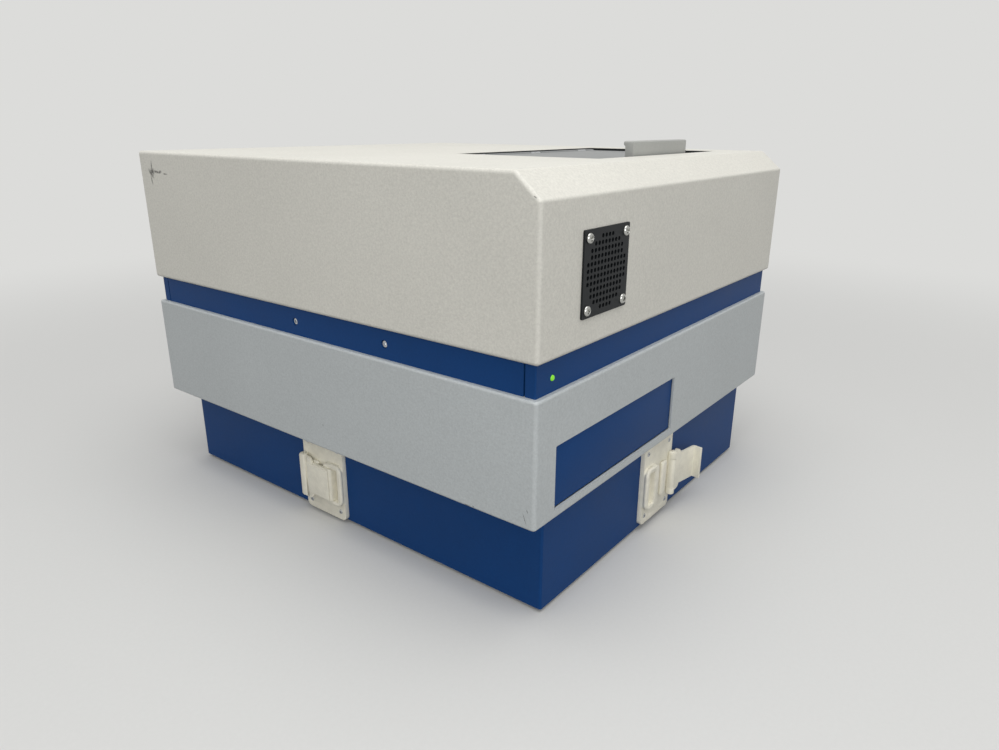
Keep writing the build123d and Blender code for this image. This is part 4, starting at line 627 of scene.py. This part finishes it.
def geometry_tree(name, inputs):
    """An empty geometry tree with named inputs; gives the tree and its group input's sockets."""
    tree = bpy.data.node_groups.new(name, "GeometryNodeTree")
    tree.interface.new_socket("Geometry", in_out="OUTPUT", socket_type="NodeSocketGeometry")
    tree.interface.new_socket("Geometry", in_out="INPUT", socket_type="NodeSocketGeometry")
    for label, kind in inputs.items():
        tree.interface.new_socket(label, in_out="INPUT", socket_type="NodeSocket" + kind)
    return tree, add(tree, "NodeGroupInput").outputs


def close_tree(tree, geometry, material):
    """End a tree in Realize Instances and Set Material."""
    real = add(tree, "GeometryNodeRealizeInstances", {"Geometry": geometry})
    dressed = add(tree, "GeometryNodeSetMaterial", {"Geometry": real.outputs[0], "Material": material})
    add(tree, "NodeGroupOutput", {"Geometry": dressed.outputs[0]})


def grow(name, base, tree, values, material):
    """Run a geometry tree on a mesh and keep the result as a plain piece."""
    piece = show(name, base, material)
    modifier = piece.modifiers.new("grow", "NODES")
    modifier.node_group = tree
    for item in tree.interface.items_tree:
        if item.in_out == "INPUT" and item.name in values:
            modifier[item.identifier] = values[item.name]
    piece.update_tag()
    settle(piece)
    piece.data.materials.clear()
    piece.data.materials.append(material)
    for face in piece.data.polygons:
        face.material_index = 0
    return piece


def grille_tree():
    """A square plate with rounded corners, pierced by a round field of holes, facing -Y."""
    tree, given = geometry_tree(
        "pierced_plate",
        {
            "Width": "Float", "Thickness": "Float", "Corner": "Float", "Pitch": "Float", "Hole": "Float",
            "Field": "Float", "Rows": "Int", "Place": "Vector", "Material": "Material",
        },
    )
    square = add(
        tree, "GeometryNodeCurvePrimitiveQuadrilateral",
        {"Width": given["Width"], "Height": given["Width"]},
    )
    rounded = add(
        tree, "GeometryNodeFilletCurve",
        {"Curve": square.outputs[0], "Radius": given["Corner"], "Count": 6}, mode="POLY",
    )
    sheet = add(tree, "GeometryNodeFillCurve", {"Curve": rounded.outputs[0]}, mode="NGONS")
    raised = add(
        tree, "GeometryNodeExtrudeMesh",
        {"Mesh": sheet.outputs[0], "Offset Scale": given["Thickness"], "Individual": False},
    )
    back = add(tree, "GeometryNodeFlipFaces", {"Mesh": sheet.outputs[0]})
    both = add(tree, "GeometryNodeJoinGeometry", {0: [raised.outputs[0], back.outputs[0]]})
    plate = add(tree, "GeometryNodeMergeByDistance", {"Geometry": both.outputs[0], "Distance": MERGE})
    less = add(tree, "ShaderNodeMath", {0: given["Rows"], 1: 1.0}, operation="SUBTRACT")
    span = add(tree, "ShaderNodeMath", {0: less.outputs[0], 1: given["Pitch"]}, operation="MULTIPLY")
    grid = add(
        tree, "GeometryNodeMeshGrid",
        {
            "Size X": span.outputs[0], "Size Y": span.outputs[0],
            "Vertices X": given["Rows"], "Vertices Y": given["Rows"],
        },
    )
    spot = add(tree, "GeometryNodeInputPosition")
    away = add(tree, "ShaderNodeVectorMath", {0: spot.outputs[0]}, operation="LENGTH")
    reach = add(tree, "ShaderNodeMath", {0: given["Field"], 1: given["Pitch"]}, operation="MULTIPLY")
    outside = add(
        tree, "ShaderNodeMath", {0: away.outputs["Value"], 1: reach.outputs[0]}, operation="GREATER_THAN"
    )
    field = add(
        tree, "GeometryNodeDeleteGeometry",
        {"Geometry": grid.outputs[0], "Selection": outside.outputs[0]},
    )
    half = add(tree, "ShaderNodeMath", {0: given["Hole"], 1: 0.5}, operation="MULTIPLY")
    deep = add(tree, "ShaderNodeMath", {0: given["Thickness"], 1: 4.0}, operation="MULTIPLY")
    punch = add(
        tree, "GeometryNodeMeshCylinder",
        {"Vertices": 20, "Radius": half.outputs[0], "Depth": deep.outputs[0]}, fill_type="NGON",
    )
    punches = add(
        tree, "GeometryNodeInstanceOnPoints",
        {"Points": field.outputs[0], "Instance": punch.outputs["Mesh"]},
    )
    bodies = add(tree, "GeometryNodeRealizeInstances", {"Geometry": punches.outputs[0]})
    pierced = add(
        tree, "GeometryNodeMeshBoolean",
        {"Mesh 1": plate.outputs[0], "Mesh 2": bodies.outputs[0]}, operation="DIFFERENCE", solver="EXACT",
    )
    upright = add(
        tree, "GeometryNodeTransform",
        {
            "Geometry": pierced.outputs[0], "Rotation": (math.radians(90), 0, 0),
            "Translation": given["Place"],
        },
    )
    close_tree(tree, upright.outputs[0], given["Material"])
    return tree


def screw_tree():
    """Screw heads on points, each facing its way out and turned about its axis at random."""
    tree, given = geometry_tree("screw_heads", {"Head": "Object", "Seed": "Int", "Material": "Material"})
    head = add(tree, "GeometryNodeObjectInfo", {"Object": given["Head"]})
    facing = add(tree, "GeometryNodeInputNamedAttribute", {"Name": "facing"}, data_type="FLOAT_VECTOR")
    size = add(tree, "GeometryNodeInputNamedAttribute", {"Name": "size"}, data_type="FLOAT")
    aimed = add(tree, "FunctionNodeAlignRotationToVector", {"Vector": facing.outputs[0]}, axis="Z")
    spin = add(
        tree, "FunctionNodeRandomValue",
        {"Min": -math.pi, "Max": math.pi, "Seed": given["Seed"]}, data_type="FLOAT",
    )
    turn = add(tree, "FunctionNodeAxisAngleToRotation", {"Axis": (0, 0, 1), "Angle": spin.outputs["Value"]})
    way = add(
        tree, "FunctionNodeRotateRotation",
        {"Rotation": aimed.outputs[0], "Rotate By": turn.outputs[0]}, rotation_space="LOCAL",
    )
    heads = add(
        tree, "GeometryNodeInstanceOnPoints",
        {
            "Points": given["Geometry"], "Instance": head.outputs["Geometry"],
            "Rotation": way.outputs[0], "Scale": size.outputs[0],
        },
    )
    close_tree(tree, heads.outputs[0], given["Material"])
    return tree


def outward(mesh):
    """Turn a closed mesh's faces outwards."""
    shape = bmesh.new()
    shape.from_mesh(mesh)
    bmesh.ops.recalc_face_normals(shape, faces=shape.faces)
    shape.to_mesh(mesh)
    shape.free()


def lathe(name, profile, sides):
    """A closed round shape about +Z from (radius, height) points that start and end on the axis."""
    shape = bmesh.new()
    points = [shape.verts.new((radius, 0, height)) for radius, height in profile]
    edges = [shape.edges.new(pair) for pair in zip(points, points[1:])]
    bmesh.ops.spin(
        shape, geom=points + edges, axis=(0, 0, 1), cent=(0, 0, 0), steps=sides, angle=2 * math.pi
    )
    bmesh.ops.remove_doubles(shape, verts=shape.verts, dist=1e-4)
    bmesh.ops.recalc_face_normals(shape, faces=shape.faces)
    return mesh_from(shape, name)


def prism(name, outline, low, high, taper):
    """A closed prism between two heights whose lower end is drawn in by a taper."""
    shape = bmesh.new()
    rings = [
        [shape.verts.new((x * share, y * share, z)) for x, y in outline]
        for z, share in ((low, taper), (high, 1.0))
    ]
    shape.faces.new(rings[1])
    shape.faces.new(reversed(rings[0]))
    for i, lower in enumerate(rings[0]):
        after = (i + 1) % len(outline)
        shape.faces.new((lower, rings[0][after], rings[1][after], rings[1][i]))
    return mesh_from(shape, name)


def screw_head(name, profile, recess, floor, top, taper):
    """A lathed head with a recess cut into it, on a scale where the head's radius is 1."""
    sides = 40
    body = bpy.data.objects.new(name, lathe(name, profile, sides))
    cutter = bpy.data.objects.new(name + "_cutter", prism(name + "_cutter", recess, floor, top, taper))
    for helper in (body, cutter):
        bpy.context.scene.collection.objects.link(helper)
    cut_away(body, cutter)
    body.data.shade_smooth()
    body.data.set_sharp_from_angle(angle=math.radians(HEAD_CRISP_ANGLE))
    return body


def pan_head(sizes):
    """Domed head with a cross recess."""
    wing, reach, height = sizes.wing, sizes.reach, sizes.height
    dome = [(radius, height * share) for radius, share in PAN_DOME] + list(PAN_SHANK)
    quarter = [(reach, -wing), (reach, wing), (wing * 1.35, wing * 1.35)]
    cross = []
    for step in range(4):
        turn = Matrix.Rotation(step * math.pi / 2, 2)
        cross += [tuple(turn @ Vector(point)) for point in quarter]
    return screw_head("pan_head", dome, cross, height * 0.1, height * 1.2, 0.55), height


def socket_head(sizes):
    """Flat head with a chamfered rim and a hexagon socket."""
    height, radius = SOCKET_HEIGHT, sizes.socket
    corners = [step * math.pi / 3 for step in range(6)]
    hexagon = [(radius * math.cos(corner), radius * math.sin(corner)) for corner in corners]
    return screw_head("socket_head", SOCKET_RIM, hexagon, height * 0.2, height * 1.3, 1.0), height


def islands(shape):
    """The separate solids of a merged shape, each as its lowest and highest corner."""
    left = set(shape.verts)
    while left:
        stack, found = [next(iter(left))], set()
        while stack:
            point = stack.pop()
            if point not in found:
                found.add(point)
                stack += [edge.other_vert(point) for edge in point.link_edges]
        left -= found
        low, high = (
            Vector([extreme(point.co[axis] for point in found) for axis in range(3)])
            for extreme in (min, max)
        )
        yield low, high


def screw_places(node_name):
    """Where each screw of a node ends, which way it faces and its head's radius."""
    shape = merged(frame["nodes"][node_name])
    places = []
    for low, high in sorted(islands(shape), key=lambda ends: tuple(ends[0])):
        size, middle = high - low, (low + high) / 2
        axis = max((0, 1), key=lambda side: abs(size[side] - size[2]))
        way = 1 if middle[axis] > CASE_MIDDLE[axis] else -1
        facing = Vector((0, 0, 0))
        facing[axis] = way
        tip = middle.copy()
        tip[axis] = high[axis] if way > 0 else low[axis]
        places.append((tip, facing, size[2] / 2))
    shape.free()
    return places


class READER_OT_finishes(Operator):
    """Give every CAD node its finish"""

    bl_idname = "reader.finishes"
    bl_label = "Finishes"

    def execute(self, context):
        finishes = make_finishes()
        for node in frame["nodes"].values():
            for place in node.material_slots:
                place.material = finishes[place.material.name]
        return {"FINISHED"}


class READER_OT_grille(Operator):
    """Pierced fan grille on the hood's front"""

    bl_idname = "reader.grille"
    bl_label = "Fan grille"

    def execute(self, context):
        sizes = context.scene.reader_grille
        low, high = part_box("fan_grille")
        material = frame["nodes"]["fan_grille"].material_slots[0].material
        values = {
            "Width": high[0] - low[0], "Thickness": high[1] - low[1], "Corner": sizes.corner,
            "Pitch": sizes.pitch, "Hole": sizes.hole, "Field": sizes.field, "Rows": sizes.rows,
            "Place": ((low[0] + high[0]) / 2, high[1], (low[2] + high[2]) / 2), "Material": material,
        }
        blank = bpy.data.meshes.new("pierced_grille")
        grille = grow("pierced_grille", blank, grille_tree(), values, material)
        grille.data.set_sharp_from_angle(angle=math.radians(CRISP_ANGLE))
        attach(grille, body_of_node("fan_grille"))
        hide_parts("fan_grille")
        return {"FINISHED"}


class READER_OT_screws(Operator):
    """Screw heads with their recesses, all over the case"""

    bl_idname = "reader.screws"
    bl_label = "Screws"

    def execute(self, context):
        sizes = context.scene.reader_screws
        tree = screw_tree()
        pan, socket = pan_head(sizes), socket_head(sizes)
        case = screw_places("case_screws")
        rear = [spot for spot in case if spot[1].y > 0]
        sides = [spot for spot in case if spot[1].y <= 0]
        self.place("grille_screw_heads", screw_places("grille_screws"), pan, tree, "grille_screws")
        self.place("rear_screw_heads", rear, pan, tree, "case_screws")
        self.place("side_screw_heads", sides, socket, tree, "case_screws")
        for head, _ in (pan, socket):
            bpy.data.objects.remove(head)
        return {"FINISHED"}

    def place(self, name, spots, kind, tree, node_name):
        """Put heads of one kind on their spots, for a node of screws."""
        head, height = kind
        base = bpy.data.meshes.new(name)
        base.from_pydata([tip - facing * height * radius for tip, facing, radius in spots], [], [])
        ways = base.attributes.new("facing", "FLOAT_VECTOR", "POINT")
        ways.data.foreach_set("vector", [part for _, facing, _ in spots for part in facing])
        scales = base.attributes.new("size", "FLOAT", "POINT")
        scales.data.foreach_set("value", [radius for _, _, radius in spots])
        material = frame["nodes"][node_name].material_slots[0].material
        values = {"Head": head, "Seed": HEAD_SEEDS[name], "Material": material}
        screws = grow(name, base, tree, values, material)
        screws.data.set_sharp_from_angle(angle=math.radians(HEAD_CRISP_ANGLE))
        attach(screws, body_of_node(node_name))
        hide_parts(node_name)


class READER_OT_mouldings(Operator):
    """Rounded edges on the latches, lid, door, handle and fittings"""

    bl_idname = "reader.mouldings"
    bl_label = "Mouldings"

    def execute(self, context):
        for node_name, (piece_name, radius) in MOULDINGS.items():
            softened(node_name, piece_name, radius)
        return {"FINISHED"}


class READER_OT_latches(Operator):
    """Keeper rims, rests, pads and hinge grips of the two latches"""

    bl_idname = "reader.latches"
    bl_label = "Latches"

    def execute(self, context):
        cream = frame["nodes"]["latch_plates"].material_slots[0].material
        tree = rim_tree()
        for side, (flap, opening) in FLAPS.items():
            base = latch_space(side)
            self.rim(f"keeper_rim_{side}", base, tree, cream)
            rib = pillow(f"latch_rest_{side}", base, LATCH_RIB, cream)
            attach(rib, "housing")
            swung = latch_space(side, opening)
            groove = pillow(f"latch_groove_{side}", swung, LATCH_GROOVE, cream)
            cut_away(bpy.data.objects[MOULDINGS[flap][0]], groove)
            pad = pillow(f"latch_pad_{side}", swung, LATCH_PAD, cream)
            grip = pillow(f"latch_grip_{side}", swung, LATCH_GRIP, cream)
            for piece in (pad, grip):
                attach(piece, body_of_node(flap))
        return {"FINISHED"}

    def rim(self, name, space, tree, cream):
        """Lay the round bead that edges a keeper."""
        along, up = LATCH_RIM["along"], LATCH_RIM["up"]
        values = {
            "Width": (along[1] - along[0]) * MM, "Height": 2 * up * MM, "Corner": LATCH_RIM["corner"] * MM,
            "Radius": LATCH_RIM["radius"] * MM, "Material": cream,
        }
        rim = grow(name, bpy.data.meshes.new(name), tree, values, cream)
        middle = Matrix.Translation((sum(along) / 2 * MM, LATCH_RIM["out"] * MM, 0))
        upright = Matrix.Rotation(math.radians(90), 4, "X")
        rim.data.transform(space @ middle @ upright)
        outward(rim.data)
        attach(rim, "housing")


class READER_OT_studio(Operator):
    """Floor, lamps, sky and the camera"""

    bl_idname = "reader.studio"
    bl_label = "Studio"

    def execute(self, context):
        studio = context.scene.reader_studio
        self.make_floor(studio)
        self.make_lamps(studio)
        self.make_camera(studio)
        context.scene.view_settings.view_transform = "Standard"
        return {"FINISHED"}

    def seen(self, tree, rays):
        """1 for rays that show the backdrop: straight to the camera, in gloss or through a lens."""
        level = rays.outputs["Is Camera Ray"]
        for kind in ("Is Glossy Ray", "Is Transmission Ray"):
            either = add(tree, "ShaderNodeMath", {0: level, 1: rays.outputs[kind]}, operation="MAXIMUM")
            level = either.outputs[0]
        return level

    def make_floor(self, studio):
        """Pale seamless paper: matt, faintly felted, fading into the backdrop away from the object."""
        fade_start, fade_end = 0.3, 1.7
        material, tree, shader, place = new_material("seamless_paper")
        fibre = add(tree, "ShaderNodeTexNoise", {"Vector": place, "Scale": FIBRE, "Detail": 3.0})
        shade = add(
            tree, "ShaderNodeMapRange", {"Value": fibre.outputs["Fac"], "To Min": 0.98, "To Max": 1.02}
        )
        tint = add(
            tree, "ShaderNodeHueSaturation", {"Color": (*studio.floor, 1), "Value": shade.outputs[0]}
        )
        rays = add(tree, "ShaderNodeLightPath")
        shown = self.seen(tree, rays)
        paper = add(
            tree, "ShaderNodeMix",
            {"Factor": shown, "A": (*studio.bounce, 1), "B": tint.outputs[0]}, data_type="RGBA",
        )
        tree.links.new(paper.outputs["Result"], shader.inputs["Base Color"])
        shader.inputs["Roughness"].default_value = 0.8
        away = add(tree, "ShaderNodeVectorMath", {0: place}, operation="LENGTH")
        fade = add(
            tree, "ShaderNodeMapRange",
            {"Value": away.outputs["Value"], "From Min": fade_start, "From Max": fade_end},
            interpolation_type="SMOOTHSTEP",
        )
        fade = add(tree, "ShaderNodeMath", {0: fade.outputs[0], 1: shown}, operation="MULTIPLY")
        glow = add(tree, "ShaderNodeEmission", {"Color": (*studio.backdrop, 1), "Strength": 1.0})
        blend = add(
            tree, "ShaderNodeMixShader", {0: fade.outputs[0], 1: shader.outputs[0], 2: glow.outputs[0]}
        )
        output = next(node for node in tree.nodes if node.type == "OUTPUT_MATERIAL")
        tree.links.new(blend.outputs[0], output.inputs["Surface"])
        mesh = bpy.data.meshes.new("studio_floor")
        ways = ((-1, -1), (1, -1), (1, 1), (-1, 1))
        mesh.from_pydata([(x * FLOOR_REACH, y * FLOOR_REACH, 0) for x, y in ways], [], [(0, 1, 2, 3)])
        floor = bpy.data.objects.new("studio_floor", mesh)
        floor.data.materials.append(material)
        bpy.context.scene.collection.objects.link(floor)

    def make_lamps(self, studio):
        """A broad lamp overhead, a smaller one in front, and an even sky."""
        for name, place, power, size in (
            ("key_lamp", KEY_PLACE, studio.key, KEY_SIZE),
            ("fill_lamp", FILL_PLACE, studio.fill, FILL_SIZE),
        ):
            lamp = bpy.data.lights.new(name, "AREA")
            lamp.energy = power
            lamp.size = size
            holder = bpy.data.objects.new(name, lamp)
            holder.location = place
            holder.rotation_euler = (CASE_MIDDLE - place).to_track_quat("-Z", "Y").to_euler()
            bpy.context.scene.collection.objects.link(holder)
        world = bpy.data.worlds.new("even_sky")
        world.use_nodes = True
        tree = world.node_tree
        tree.nodes.clear()
        rays = add(tree, "ShaderNodeLightPath")
        shown = self.seen(tree, rays)
        light = add(tree, "ShaderNodeBackground", {"Color": (1, 1, 1, 1), "Strength": studio.sky})
        seen_sky = add(tree, "ShaderNodeBackground", {"Color": (*studio.backdrop, 1), "Strength": 1.0})
        mix = add(
            tree, "ShaderNodeMixShader",
            {0: shown, 1: light.outputs[0], 2: seen_sky.outputs[0]},
        )
        add(tree, "ShaderNodeOutputWorld", {"Surface": mix.outputs[0]})
        bpy.context.scene.world = world

    def make_camera(self, studio):
        """The photograph's camera, from its place, yaw, tilt, roll and lens."""
        yaw, pitch, roll = (math.radians(a) for a in (studio.yaw, studio.pitch, studio.roll))
        ahead = Vector(
            (math.sin(yaw) * math.cos(pitch), math.cos(yaw) * math.cos(pitch), math.sin(pitch))
        )
        level = Vector((math.cos(yaw), -math.sin(yaw), 0))
        above = level.cross(ahead)
        right = math.cos(roll) * level + math.sin(roll) * above
        up = math.cos(roll) * above - math.sin(roll) * level
        camera = bpy.data.objects.new("photo_camera", bpy.data.cameras.new("photo_camera"))
        turn = Matrix((right, up, -ahead)).transposed().to_4x4()
        camera.matrix_world = Matrix.Translation(Vector(studio.place)) @ turn
        camera.data.sensor_width = 36.0
        camera.data.lens = studio.lens
        camera.data.clip_start = 0.01
        camera.data.clip_end = 50.0
        bpy.context.scene.collection.objects.link(camera)
        bpy.context.scene.camera = camera


class READER_PT_looks(Panel):
    """The reader's finishes and pieces, one button each"""

    bl_idname = "READER_PT_looks"
    bl_label = "Microplate reader"
    bl_space_type = "VIEW_3D"
    bl_region_type = "UI"
    bl_category = "Reader"

    def draw(self, context):
        for group_name in GROUPS:
            group = getattr(context.scene, group_name)
            box = self.layout.box()
            for name in group.bl_rna.properties.keys():
                if name not in ("rna_type", "name"):
                    box.prop(group, name)
        for operator in OPERATORS:
            self.layout.operator(operator.bl_idname)


GROUPS = {
    "reader_paints": CasePaints,
    "reader_grille": GrilleSizes,
    "reader_screws": ScrewSizes,
    "reader_studio": StudioSettings,
}
OPERATORS = (
    READER_OT_finishes,
    READER_OT_grille,
    READER_OT_screws,
    READER_OT_mouldings,
    READER_OT_latches,
    READER_OT_studio,
)


def register():
    for kind in (*GROUPS.values(), *OPERATORS, READER_PT_looks):
        bpy.utils.register_class(kind)
    for name, kind in GROUPS.items():
        setattr(bpy.types.Scene, name, PointerProperty(type=kind))


def unregister():
    for name in GROUPS:
        delattr(bpy.types.Scene, name)
    for kind in reversed((*GROUPS.values(), *OPERATORS, READER_PT_looks)):
        bpy.utils.unregister_class(kind)


def main():
    register()
    bpy.ops.reader.finishes()
    bpy.ops.reader.grille()
    bpy.ops.reader.screws()
    bpy.ops.reader.mouldings()
    bpy.ops.reader.latches()
    bpy.ops.reader.studio()


if __name__ == "__main__":
    main()
